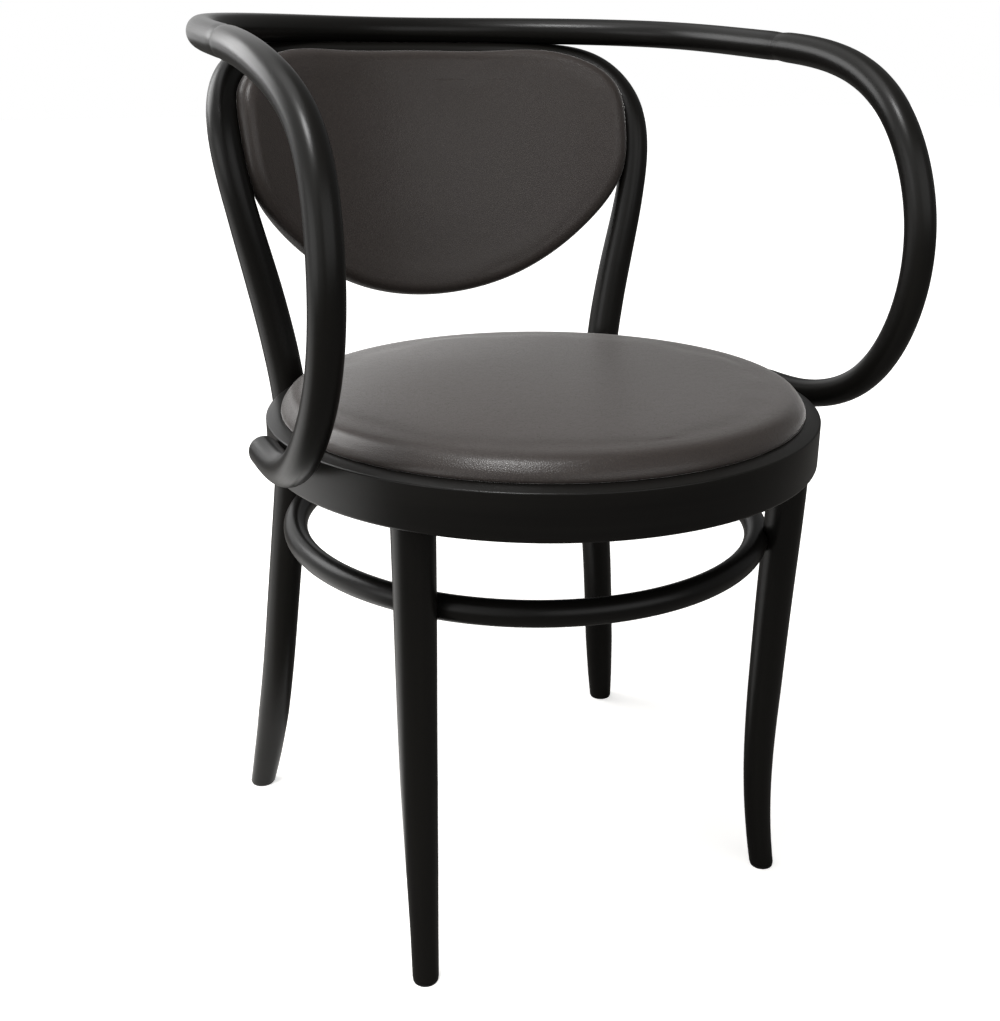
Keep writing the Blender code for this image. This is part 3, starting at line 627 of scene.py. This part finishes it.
# Back rail and arm bows: one long bow in three lengths that meet end to end
bowSpec = {
    "half": [
        (0, 0.297, 0.738),
        (0.139, 0.2525, 0.738),
        (0.2222, 0.161, 0.734),
        (0.2424, 0.041, 0.725),
        (0.2442, -0.065, 0.7096),
        (0.2390, -0.128, 0.6762),
        (0.2416, -0.165, 0.6005),
        (0.2450, -0.1543, 0.5129),
        (0.2476, -0.105, 0.4521),
        (0.2440, -0.0437, 0.4307),
        (0.2412, 0.002, 0.4297),
    ],
    "rail": 0.0238,
    "arm": 0.0244,
    "joint": 0.415,  # along the bow from its middle
    "glue": 0.00002,  # half the glue line
    "square": 0.0003,  # length of the first and last step, so that the ends are cut square
    "ease": 0.0001,  # round-over on the ends that butt in the joint
    "waist": 0.0006,  # how much thinner the rods are sanded at the joint
    "waistReach": 0.006,
    "swell": 0.014,  # the arm reaches its full size this far from the joint
    "seatReach": 0.012,  # how far down the loop's top the rail is cut to it
    "saddleOver": 0.05,
}
bowLine = onChair(splineThrough(bothSides(bowSpec["half"]), 6001))
bowAlong = lengthAlong(bowLine)
bowAlong = bowAlong - bowAlong[len(bowLine) // 2]


def bowSpan(start, stop):
    square = bowSpec["square"]
    stops = np.linspace(start, stop, int((stop - start) / rodStep))
    stops = np.concatenate([[start, start + square], stops[1:-1], [stop - square, stop]])
    return placesAt(stops, bowAlong, bowLine)


railEnd = bowSpec["joint"] - bowSpec["glue"]
railLine = bowSpan(-railEnd, railEnd)
armLine = bowSpan(bowSpec["joint"] + bowSpec["glue"], bowAlong[-1])


def easeEnd(line, radii):  # a small round-over at the end of a rod
    ease = bowSpec["ease"]
    way = line[-1] - line[-2]
    way /= np.linalg.norm(way)
    turns = [(math.sin(t), math.cos(t)) for t in (0, 0.5, 1.05, 1.5)]
    stops = [line[-1] - way * ease * (1 - s) for s, c in turns]
    sizes = [radii[-1] - ease * (1 - c) for s, c in turns]
    return np.concatenate([line[:-1], stops]), np.concatenate([radii[:-1], sizes])


def waistAt(away):
    return bowSpec["waist"] * np.exp(-((away / bowSpec["waistReach"]) ** 2))


railAlong = lengthAlong(railLine)
railRadii = bowSpec["rail"] / 2 - waistAt(railAlong) - waistAt(railAlong[-1] - railAlong)
railRod, railRadii = easeEnd(railLine, railRadii)
railRod, railRadii = easeEnd(railRod[::-1], railRadii[::-1])
backRail = drawLine("backRail", railRod, radii=railRadii)
loopTop = loopLine[loopLine[:, 2] > loopSpec["half"][0][2] - bowSpec["seatReach"]]
cutAway(backRail, drawLine("railSeat", loopTop, radii=loopRadius(loopTop) + seam))

armAlong = lengthAlong(armLine)
armRadii = np.interp(armAlong, [0, bowSpec["swell"]], [bowSpec["rail"] / 2, bowSpec["arm"] / 2])
armRadii = armRadii - waistAt(armAlong)
armRod, armRadii = easeEnd(armLine[::-1], armRadii[::-1])
armRod, armRadii = armRod[::-1], armRadii[::-1]
endWay = armRod[-1] - armRod[-2]
endWay /= np.linalg.norm(endWay)
endTurns = np.linspace(0.12, 1.5, 12)  # the arm's lower end is a half ball
endRadius = bowSpec["arm"] / 2
armRod = np.concatenate([armRod, [armRod[-1] + endWay * endRadius * math.sin(t) for t in endTurns]])
armRadii = np.concatenate([armRadii, [endRadius * math.cos(t) for t in endTurns]])
saddleRadius = ringRadius + seam
saddleLow, saddleHigh = ringLow.z - bowSpec["saddleOver"], ringHigh.z + bowSpec["saddleOver"]
saddleProfile = [(0, saddleLow), (saddleRadius, saddleLow), (saddleRadius, saddleHigh), (0, saddleHigh)]
saddle = turnProfile("saddle", saddleProfile, ringSpec["points"], seatMiddle)
arms = {}
for sideName, side in (("Left", 1), ("Right", -1)):
    arms[sideName] = drawLine("armBow" + sideName, mirrorLine(armRod, side), radii=armRadii)
    cutAway(arms[sideName], saddle, last=side == -1)
print("rail and arms bent")

wood = [
    (backLoop, loopLine, "back_loop"),
    (hoop, hoopLine, "stretcher_hoop"),
    (seatRing, ringLine, "seat_ring"),
    (backRail, railLine, "back_rail"),
]
for sideName, side in (("Left", 1), ("Right", -1)):
    wood.append((legs[sideName], mirrorLine(legLine, side), "front_leg_" + sideName.lower()))
    wood.append((arms[sideName], mirrorLine(armLine, side), "arm_bow_" + sideName.lower()))
for piece, line, node in wood:
    smooth(piece)
    markGrain(piece, line)
    dress(piece, beech, "stained_beech", node)
print("wood grained")


# Leather pads

def fillLoop(piece, edges, span=0):  # a closed loop filled with a grid of quads, or with one face
    before = len(piece.data.vertices)
    selectOnly(piece, edges=edges)
    if span:
        bpy.ops.mesh.fill_grid(span=span)
    else:
        bpy.ops.mesh.edge_face_add()
    bpy.ops.object.mode_set(mode="OBJECT")
    return np.arange(before, len(piece.data.vertices))


hideSpec = {  # how the hide gives while the foam presses it out
    "quality": 6,
    "mass": 0.4,
    "tension_stiffness": 40,
    "compression_stiffness": 40,
    "shear_stiffness": 20,
    "bending_stiffness": 4,
}
puffFrames = 20
evenPasses = 30  # rounds that even out small ripples


def puff(piece, held, pressure, cap):  # foam pressing out under the hide, with the tacked parts held
    start = pointsOf(piece)
    group = piece.vertex_groups.new(name="held")
    for index, weight in enumerate(held):
        group.add([index], float(weight), "REPLACE")
    pick(piece)
    cloth = piece.modifiers.new("Cloth", "CLOTH")
    settings = cloth.settings
    for key, value in hideSpec.items():
        setattr(settings, key, value)
    settings.use_pressure = True
    settings.uniform_pressure_force = pressure
    settings.vertex_group_mass = "held"
    settings.effector_weights.gravity = 0
    cloth.collision_settings.use_collision = False
    cloth.point_cache.frame_start = 1
    cloth.point_cache.frame_end = puffFrames
    for step in range(1, puffFrames + 1):
        scene.frame_set(step)
    bpy.ops.object.modifier_apply(modifier=cloth.name)
    scene.frame_set(1)
    move = pointsOf(piece) - start
    ends = np.array([edge.vertices[:] for edge in piece.data.edges])
    ends = np.concatenate([ends, ends[:, ::-1]])
    count = np.bincount(ends[:, 0], minlength=len(move))[:, None]
    loose = 1 - np.asarray(held)[:, None]
    for step in range(evenPasses):
        total = np.zeros_like(move)
        np.add.at(total, ends[:, 0], move[ends[:, 1]])
        move += loose * 0.5 * (total / count - move)
    far = np.linalg.norm(move, axis=1)[:, None]
    print(piece.name, "puffed, largest move", round(float(far.max()) * 1000, 2), "mm before the cap")
    setPoints(piece, start + move * cap / (cap + far))  # soft cap on how far a point may go
    piece.vertex_groups.clear()


# Seat pad: hide drawn over foam and tacked under the board, which sits in its underside
padLow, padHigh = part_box("seat_cover")
boardLow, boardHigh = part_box("seat_board")
padRadius = (padHigh.x - padLow.x) / 2
seatSpec = {
    "crown": 0.0008,
    "lip": 0.019,  # how far the hide turns in under the board
    "hide": 0.0014,
    "roll": [  # inset from the rim, height above the underside
        (0.0010, -0.0002),
        (0.0002, 0.0003),
        (0.0000, 0.0022),
        (0.0019, 0.0071),
        (0.0050, 0.0117),
        (0.0085, 0.0150),
        (0.0132, 0.0168),
        (0.0200, 0.0175),
    ],
    "points": 256,
    "field": [(0.0215, 0.00005), (0.0255, 0.0001), (0.0310, 0.0002)],  # inset, rise over the crest
    "under": 0.011,  # the underside starts to round this far in from the rim
    "heldHigh": 0.005,  # held by its tacks up to here
    "freeReach": 0.007,
    "puff": 4.0,
    "cap": 0.0005,
}
crest = padLow.z + seatSpec["roll"][-1][1]
boardRadius = (boardHigh.x - boardLow.x) / 2 + seam
lipHigh = padLow.z + seatSpec["hide"]
lipRadius = padRadius - seatSpec["lip"]
roll = splineThrough([(padRadius - inset, padLow.z + rise, 0) for inset, rise in seatSpec["roll"]], 30)
fieldInset, fieldRise = seatSpec["field"][-1]
fieldRadius = padRadius - fieldInset
seatProfile = [(boardRadius, boardHigh.z + seam), (boardRadius, lipHigh)]
seatProfile += [(lipRadius, lipHigh), (lipRadius, padLow.z)]
seatProfile += [(padRadius - seatSpec["under"], padLow.z)] + [tuple(stop) for stop in roll[:, :2]]
seatProfile += [(padRadius - inset, crest + rise) for inset, rise in seatSpec["field"]]
seatPad = turnProfile("seatPad", seatProfile, seatSpec["points"], seatMiddle)
heights = pointsOf(seatPad)[:, 2]
openLoop = openEdges(seatPad)
topLoop = [e for e in openLoop if heights[seatPad.data.edges[e].vertices[0]] > boardHigh.z + 0.002]
field = fillLoop(seatPad, topLoop, seatSpec["points"] // 4)
points = pointsOf(seatPad)
away = np.linalg.norm(points[field, :2] - np.array(seatMiddle)[:2], axis=1) / fieldRadius
points[field, 2] = crest + fieldRise + (seatSpec["crown"] - fieldRise) * (1 - np.clip(away, 0, 1) ** 2)
setPoints(seatPad, points)
fillLoop(seatPad, openEdges(seatPad))
weld(seatPad)
points = pointsOf(seatPad)
free = np.clip((points[:, 2] - padLow.z - seatSpec["heldHigh"]) / seatSpec["freeReach"], 0, 1)
away = np.linalg.norm(points[:, :2] - np.array(seatMiddle)[:2], axis=1)
free[(away < boardRadius + 0.001) & (points[:, 2] < boardHigh.z + 0.001)] = 0
puff(seatPad, 1 - free, seatSpec["puff"], seatSpec["cap"])
smooth(seatPad, 50)
dress(seatPad, hide, "leather", "seat_cover", "seat_foam")
print("seat pad upholstered")

# Back pad: hide over foam on a curved board, smooth in front, with a soft round rim
backSpec = {
    "outline": [
        (0, 0.7194),
        (0.0752, 0.7194),
        (0.1499, 0.7155),
        (0.1848, 0.6915),
        (0.1907, 0.6550),
        (0.1856, 0.6110),
        (0.1534, 0.5620),
        (0.0841, 0.5140),
        (0, 0.4978),
    ],
    "bend": 0.325,
    "lean": 0.2265,
    "topY": 0.2624,  # depth of the middle surface at the height below
    "topZ": 0.7205,
    "thick": 0.023,
    "crown": 0.0013,
    "crownReach": 0.035,
    "hide": 0.0014,
    "lip": 0.0205,  # how far the hide turns in behind
    "boardEdge": 0.0130,
    "boardFront": -0.0028,
    "recessField": 0.030,
    "rim": [  # inset from the outline, place before the middle surface
        (0.0138, -0.0115),
        (0.0064, -0.0104),
        (0.0016, -0.0066),
        (0.0000, 0.0004),
        (0.0018, 0.0070),
        (0.0060, 0.0104),
        (0.0120, 0.0112),
        (0.0200, 0.0114),
        (0.0275, 0.0114),
    ],
    "points": 240,
    "heldFront": 0.006,  # held behind this place, quite free from a little before it
    "freeReach": 0.004,
    "puff": 4.0,
    "cap": 0.0007,
    "loopGap": 0.0002,
}
half = [(x, 0, z) for x, z in backSpec["outline"]]
around = half + [(-x, y, z) for x, y, z in reversed(half[1:-1])]
wrapped = splineThrough(around[-3:] + around + around[:4], 6001)
nearTop = np.abs(wrapped - np.array(around[0])).sum(axis=1)  # a lap starts and ends at the top middle
first = int(nearTop[:3000].argmin())
last = first + 500 + int(nearTop[first + 500 :].argmin())
lap = wrapped[first : last + 1]
lapAlong = lengthAlong(lap)
lapStops = np.linspace(0, lapAlong[-1], backSpec["points"], endpoint=False)
outline = np.stack([np.interp(lapStops, lapAlong, lap[:, k]) for k in (0, 2)], axis=1)
lapWay = np.roll(outline, -1, axis=0) - np.roll(outline, 1, axis=0)
inward = np.stack([lapWay[:, 1], -lapWay[:, 0]], axis=1)
inward /= np.linalg.norm(inward, axis=1)[:, None]


def padSag(x):
    return np.sqrt(backSpec["bend"] ** 2 - x**2)


def padDepth(x, z):  # of the curved, leaning middle surface of the pad
    return backSpec["topY"] + backSpec["lean"] * (z - backSpec["topZ"]) + padSag(x) - backSpec["bend"]


def padFacing(x):  # the way that surface faces
    facing = np.stack([-x / padSag(x), np.full_like(x, -1), np.full_like(x, backSpec["lean"])], axis=1)
    return facing / np.linalg.norm(facing, axis=1)[:, None]


def padPlaces(x, z, forward):  # points in front of it
    return onChair(np.stack([x, padDepth(x, z), z], axis=1) + padFacing(x) * np.reshape(forward, (-1, 1)))


def padRing(inset, forward):
    flat = outline + inward * inset
    return padPlaces(flat[:, 0], flat[:, 1], np.full(len(flat), forward))


def layField(piece, edges, forward, crown, inset):  # fills a loop and lays the field on the curved surface
    fresh = fillLoop(piece, edges, backSpec["points"] // 4)
    points = pointsOf(piece)
    edge = outline + inward * inset
    shown = points[fresh][:, [0, 2]] - np.array((seatMiddle.x, 0))
    spot = shown
    for step in range(6):  # back along the facing, to the middle surface
        spot = shown - padFacing(spot[:, 0])[:, [0, 2]] * forward
    near = [np.sqrt(((s[:, None] - edge[None]) ** 2).sum(2)).min(1) for s in np.array_split(spot, 20)]
    rise = crown * (1 - np.exp(-((np.concatenate(near) / backSpec["crownReach"]) ** 2)))
    points[fresh] = padPlaces(spot[:, 0], spot[:, 1], forward + rise)
    setPoints(piece, points)


def lastRingEdges(piece):
    start = len(piece.data.vertices) - backSpec["points"]
    return [e for e in openEdges(piece) if piece.data.edges[e].vertices[0] >= start]


thickHalf = backSpec["thick"] / 2
hideDeep = thickHalf - backSpec["hide"]
recessFront = backSpec["boardFront"] + seam
recessEdge = backSpec["boardEdge"] - seam
rim = splineThrough([(inset, forward, 0) for inset, forward in backSpec["rim"]], 40)
section = [(backSpec["recessField"], recessFront), (recessEdge, recessFront), (recessEdge, -hideDeep)]
section += [(backSpec["lip"], -hideDeep), (backSpec["lip"], -thickHalf)]
section += [tuple(stop) for stop in rim[:, :2]]
backPad = extrudeRings("backPad", [padRing(*stop) for stop in section])
fieldInset, fieldFront = backSpec["rim"][-1]
layField(backPad, lastRingEdges(backPad), fieldFront, backSpec["crown"], fieldInset)
layField(backPad, openEdges(backPad), recessFront, 0, backSpec["recessField"])
weld(backPad)
x, y, z = (pointsOf(backPad) - np.array((seatMiddle.x, seatMiddle.y, 0))).T
before = (padDepth(x, z) - y) / np.sqrt(1 + backSpec["lean"] ** 2 + (x / padSag(x)) ** 2)
free = np.clip((before - backSpec["heldFront"]) / backSpec["freeReach"], 0, 1)
puff(backPad, 1 - free, backSpec["puff"], backSpec["cap"])
points = pointsOf(backPad)
# the soft rim gives way where it lies against the loop
for span in np.array_split(np.arange(len(points)), 40):
    out = points[span][:, None] - loopLine[None]
    near = (out**2).sum(2).argmin(1)
    out = out[np.arange(len(span)), near]
    away = np.linalg.norm(out, axis=1)
    short = np.clip(loopRadius(loopLine[near]) + backSpec["loopGap"] - away, 0, None)
    points[span] += out / away[:, None] * short[:, None]
setPoints(backPad, points)
smooth(backPad, 50)
dress(backPad, hide, "leather", "back_cover", "back_foam")

# Rear panel: hide stretched over the back of the board, its edge turned under
panelSpec = {
    "round": 0.0006,
    "corner": 0.0002,
    "lift": 0.0002,
    "unroll": (1.08, 1.03),  # flat width and height over the seen ones
}
panelInset = backSpec["lip"] + seam
panelBack = -thickHalf
panelFront = -hideDeep - panelSpec["lift"]
section = [(panelInset + panelSpec["round"], panelBack)]
section += [(panelInset + panelSpec["corner"], panelBack + panelSpec["corner"])]
section += [(panelInset, panelBack + panelSpec["round"]), (panelInset, panelFront)]
backPanel = extrudeRings("backRearPanel", [padRing(*stop) for stop in section])
layField(backPanel, lastRingEdges(backPanel), panelFront, 0, panelInset)
layField(backPanel, openEdges(backPanel), panelBack, 0, panelInset)
weld(backPanel)
smooth(backPanel, 50)
dress(backPanel, hide, "leather", "back_rear_panel")
print("back pad upholstered")

# Dust cover: cloth tacked under the seat board, sagging a little
dustLow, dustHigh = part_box("seat_dust_cover")
dustSpec = {
    "sag": 0.0012,
    "thick": 0.9 * (dustHigh.z - dustLow.z),
    "radius": (dustHigh.x - dustLow.x) / 2,
    "points": 96,
}
deselect()
bpy.ops.mesh.primitive_circle_add(
    vertices=dustSpec["points"], radius=dustSpec["radius"], location=(seatMiddle.x, seatMiddle.y, 0)
)
dustCover = bpy.context.object
dustCover.name = dustCover.data.name = "seatDustCover"
bpy.ops.object.transform_apply(location=True, rotation=True, scale=True)
fillLoop(dustCover, range(dustSpec["points"]), dustSpec["points"] // 4)
points = pointsOf(dustCover)
away = np.linalg.norm(points[:, :2] - np.array(seatMiddle)[:2], axis=1) / dustSpec["radius"]
points[:, 2] = (dustLow.z + dustHigh.z) / 2 - dustSpec["sag"] * np.clip(1 - away**2, 0, 1) ** 2
setPoints(dustCover, points)
modify(dustCover, "SOLIDIFY", thickness=dustSpec["thick"], offset=0)
weld(dustCover)
smooth(dustCover)
dress(dustCover, dustCloth, "dust_cloth", "seat_dust_cover")
print("dust cover tacked")

# Glides under the feet: a moulded disc on a pin
glideSpec = {"disc": 0.002, "pin": 0.0011, "point": 0.002, "ease": 0.001, "corner": 0.0003}
for end in ("front", "rear"):
    low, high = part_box("glide_" + end + "_left")
    radius = (high.x - low.x) / 2
    profile = [(0, 0), (radius - glideSpec["ease"], 0), (radius - glideSpec["corner"], glideSpec["corner"])]
    profile += [(radius, glideSpec["ease"]), (radius, glideSpec["disc"])]
    profile += [(glideSpec["pin"], glideSpec["disc"])]
    profile += [(glideSpec["pin"], high.z - glideSpec["point"]), (0, high.z)]
    glide = turnProfile("glide", profile, 48, (0, 0))
    smooth(glide)
    for side in ("left", "right"):
        node = "glide_" + end + "_" + side
        low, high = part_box(node)
        move = Matrix.Translation(((low.x + high.x) / 2, (low.y + high.y) / 2, 0))
        dress(copyPiece(glide, "glide" + end.title() + side.title(), move), nylon, "black_plastic", node)
    bpy.data.objects.remove(glide, do_unlink=True)
print("glides nailed")


# Screws and bolts: one of each kind is turned, then copied to the places of its CAD solids

def screwPlace(node):  # point on the head, way into the wood, length, head radius, depth of the head's rim
    points = np.unique(np.round(pointsOf(cadNodes[node]), 6), axis=0)
    middle = points.mean(axis=0)
    axis = np.linalg.svd(points - middle)[2][0]
    along = (points - middle) @ axis
    away = np.linalg.norm(points - middle - along[:, None] * axis, axis=1)
    if along[away > away.max() * 0.97].mean() > (along.min() + along.max()) / 2:
        axis, along = -axis, -along
    rimDeep = along[away > away.max() * 0.97].max() - along.min()
    return middle + axis * along.min(), axis, np.ptp(along), away.max(), rimDeep


def driveCross(size):  # two crossed bars, the recess for the driver
    deselect()
    bpy.ops.mesh.primitive_cube_add(size=1)
    bar = bpy.context.object
    bar.data.transform(Matrix.Diagonal((size, size * 0.22, size * 0.9, 1)))
    other = copyPiece(bar, "otherBar", Matrix.Rotation(math.pi / 2, 4, "Z"))
    modify(bar, "BOOLEAN", operation="UNION", solver="EXACT", object=other)
    bpy.data.objects.remove(other, do_unlink=True)
    return bar


def turnScrew(node, countersunk):
    top, axis, long, head, rimDeep = screwPlace(node)
    shank = head / 2
    if countersunk:
        profile = [(0, 0.0002), (head * 0.9, 0.0002), (head, rimDeep + 0.0001), (shank, rimDeep + head * 0.6)]
    else:
        profile = [(0, 0), (head * 0.5, rimDeep * 0.06), (head * 0.8, rimDeep * 0.25)]
        profile += [(head * 0.97, rimDeep * 0.65), (head, rimDeep), (shank, rimDeep)]
    profile += [(shank, long - head), (0, long)]
    screw = turnProfile("screw", profile, 32, (0, 0))
    cutAway(screw, driveCross(head * 1.1))
    smooth(screw, 30)
    return screw


screwKinds = {  # CAD names without their side, and whether the head is countersunk
    ("hoop_screw_front", "hoop_screw_rear"): True,
    ("seat_screw_front", "seat_screw_rear"): True,
    ("rail_screw",): True,
    ("back_screw_side",): True,
    ("back_screw_top",): True,
    ("arm_end_screw",): False,
    ("rear_bolt",): False,
}
for nodes, countersunk in screwKinds.items():
    screw = turnScrew(nodes[0] + "_left", countersunk)
    for node in [n + side for n in nodes for side in ("_left", "_right")]:
        top, axis = screwPlace(node)[:2]
        move = Matrix.Translation(Vector(top)) @ Vector(axis).to_track_quat("Z", "Y").to_matrix().to_4x4()
        first, *others = node.split("_")
        dress(copyPiece(screw, first + "".join(others).title(), move), steel, "steel", node)
    bpy.data.objects.remove(screw, do_unlink=True)
print("screws driven")

for piece in pieces:
    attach(piece, "root")

# Floor, light and camera: a white studio, lit from above, the left and the front, with a pale wall behind
studio = {
    "floor": 30.0,
    "floorColour": "#e9e7e3",
    "floorShadeUnder": "#7c7a77",  # what the chair's undersides see: a grey standing in for the pale floor, painted shade on them
    "glow": 0.6,
    "farGlow": 1.0,
    "glowFrom": 0.45,  # metres from the chair's middle
    "glowTo": 1.5,
    "wallSide": (-0.87, 0.5, 0.0),  # the pale wall stands behind and to the left
    "floorWall": (0.8, 1.0),  # how far a direction leans that way, from none of the wall to all of it
    "skyWall": (-0.05, 0.35),
    "wallSky": 0.9,
    "roomSky": 0.2,
}


def wallShare(tree, way, low, high):  # 1 towards the pale wall, 0 towards the darker room
    lean = addNode(tree, "ShaderNodeVectorMath", {0: way, 1: studio["wallSide"]}, operation="DOT_PRODUCT")
    share = addNode(
        tree,
        "ShaderNodeMapRange",
        {"Value": lean.outputs["Value"], "From Min": low, "From Max": high},
        interpolation_type="SMOOTHSTEP",
    )
    return share.outputs["Result"]


def whiteShare(tree, wall):  # 1 for rays that see white: the camera's, and glossy ones towards the wall
    path = addNode(tree, "ShaderNodeLightPath").outputs
    glossy = addNode(tree, "ShaderNodeMath", {0: path["Is Glossy Ray"], 1: wall}, operation="MULTIPLY")
    seen = glossy.outputs[0]
    for ray in ("Is Camera Ray", "Is Transmission Ray"):
        seen = addNode(tree, "ShaderNodeMath", {0: seen, 1: path[ray]}, operation="ADD").outputs[0]
    return seen


# Painted studio floor: pale and quite matt, white to the camera, with the chair's shadow
def paleFloor():
    made, tree, shader = newMaterial("paleFloor", Roughness=0.9, Specular_IOR_Level=0.0)
    place = addNode(tree, "ShaderNodeTexCoord").outputs["Object"]
    way = addNode(tree, "ShaderNodeVectorMath", {0: place}, operation="NORMALIZE").outputs["Vector"]
    seen = whiteShare(tree, wallShare(tree, way, *studio["floorWall"]))
    # painted shade: rays other than the camera's, and glossy ones away from the wall, see the floor grey, so
    # the chair's undersides and their reflections of the floor stay dark
    under, over = linearColour(studio["floorShadeUnder"]), linearColour(studio["floorColour"])
    colour = addNode(tree, "ShaderNodeMix", {"Factor": seen, "A": under, "B": over}, data_type="RGBA")
    tree.links.new(colour.outputs["Result"], shader.inputs["Base Color"])
    away = addNode(tree, "ShaderNodeVectorMath", {0: place}, operation="LENGTH")
    glow = addNode(
        tree,
        "ShaderNodeMapRange",
        {
            "Value": away.outputs["Value"],
            "From Min": studio["glowFrom"],
            "From Max": studio["glowTo"],
            "To Min": studio["glow"],
            "To Max": studio["farGlow"],
        },
    )
    lit = addNode(tree, "ShaderNodeMath", {0: seen, 1: glow.outputs["Result"]}, operation="MULTIPLY")
    shader.inputs["Emission Color"].default_value = (1, 1, 1, 1)
    tree.links.new(lit.outputs["Value"], shader.inputs["Emission Strength"])
    return made


deselect()
bpy.ops.mesh.primitive_plane_add(size=studio["floor"], location=(0, 0, 0))
floor = bpy.context.object
floor.name = "floor"
floor.data.materials.append(paleFloor())

world = bpy.data.worlds.new("studioSky")
scene.world = world
world.use_nodes = True
tree = world.node_tree
way = addNode(tree, "ShaderNodeTexCoord").outputs["Generated"]
wall = wallShare(tree, way, *studio["skyWall"])
sky = addNode(
    tree, "ShaderNodeMapRange", {"Value": wall, "To Min": studio["roomSky"], "To Max": studio["wallSky"]}
).outputs["Result"]
white = whiteShare(tree, wall)
level = addNode(tree, "ShaderNodeMix", {"Factor": white, "A": sky, "B": 1.0}, data_type="FLOAT")
tree.links.new(level.outputs["Result"], tree.nodes["Background"].inputs["Strength"])
tree.nodes["Background"].inputs["Color"].default_value = (1, 1, 1, 1)

lights = {  # place, target, width, height, power
    "keyAbove": ((-0.72, -0.62, 2.3), (0, 0, 0.5), 0.42, 0.42, 26),
    "softLeft": ((-0.85, 0.95, 1.2), (-0.1, 0, 0.46), 0.8, 0.7, 10),
    "lowLeft": ((-1.9, -0.3, 0.85), (0, 0, 0.6), 1.2, 0.8, 6),
    "broadFront": ((0.3, -2.0, 1.35), (0, 0.1, 0.55), 2.4, 1.2, 12),
    "overhead": ((-0.4, 0.15, 2.5), (0, 0.1, 0.5), 1.2, 1.2, 7),
}
for name, (place, target, width, height, power) in lights.items():
    deselect()
    bpy.ops.object.light_add(type="AREA", location=place)
    lamp = bpy.context.object
    lamp.name = name
    lamp.data.shape = "RECTANGLE"
    lamp.data.size = width
    lamp.data.size_y = height
    lamp.data.energy = power
    lamp.rotation_euler = (Vector(target) - Vector(place)).to_track_quat("-Z", "Y").to_euler()

cameraSpec = {
    "place": (-0.48663, -0.92965, 0.71444),
    "turn": (69.6047, -0.1638, -27.1644),
    "lens": 43.5157,
    "shiftX": -0.01173,
    "shiftY": 0.00515,
}
deselect()
turn = [math.radians(a) for a in cameraSpec["turn"]]
bpy.ops.object.camera_add(location=cameraSpec["place"], rotation=turn)
camera = bpy.context.object
camera.data.lens = cameraSpec["lens"]
camera.data.shift_x = cameraSpec["shiftX"]
camera.data.shift_y = cameraSpec["shiftY"]
camera.data.clip_start = 0.02
scene.camera = camera
scene.view_settings.view_transform = "Standard"
print("studio set")
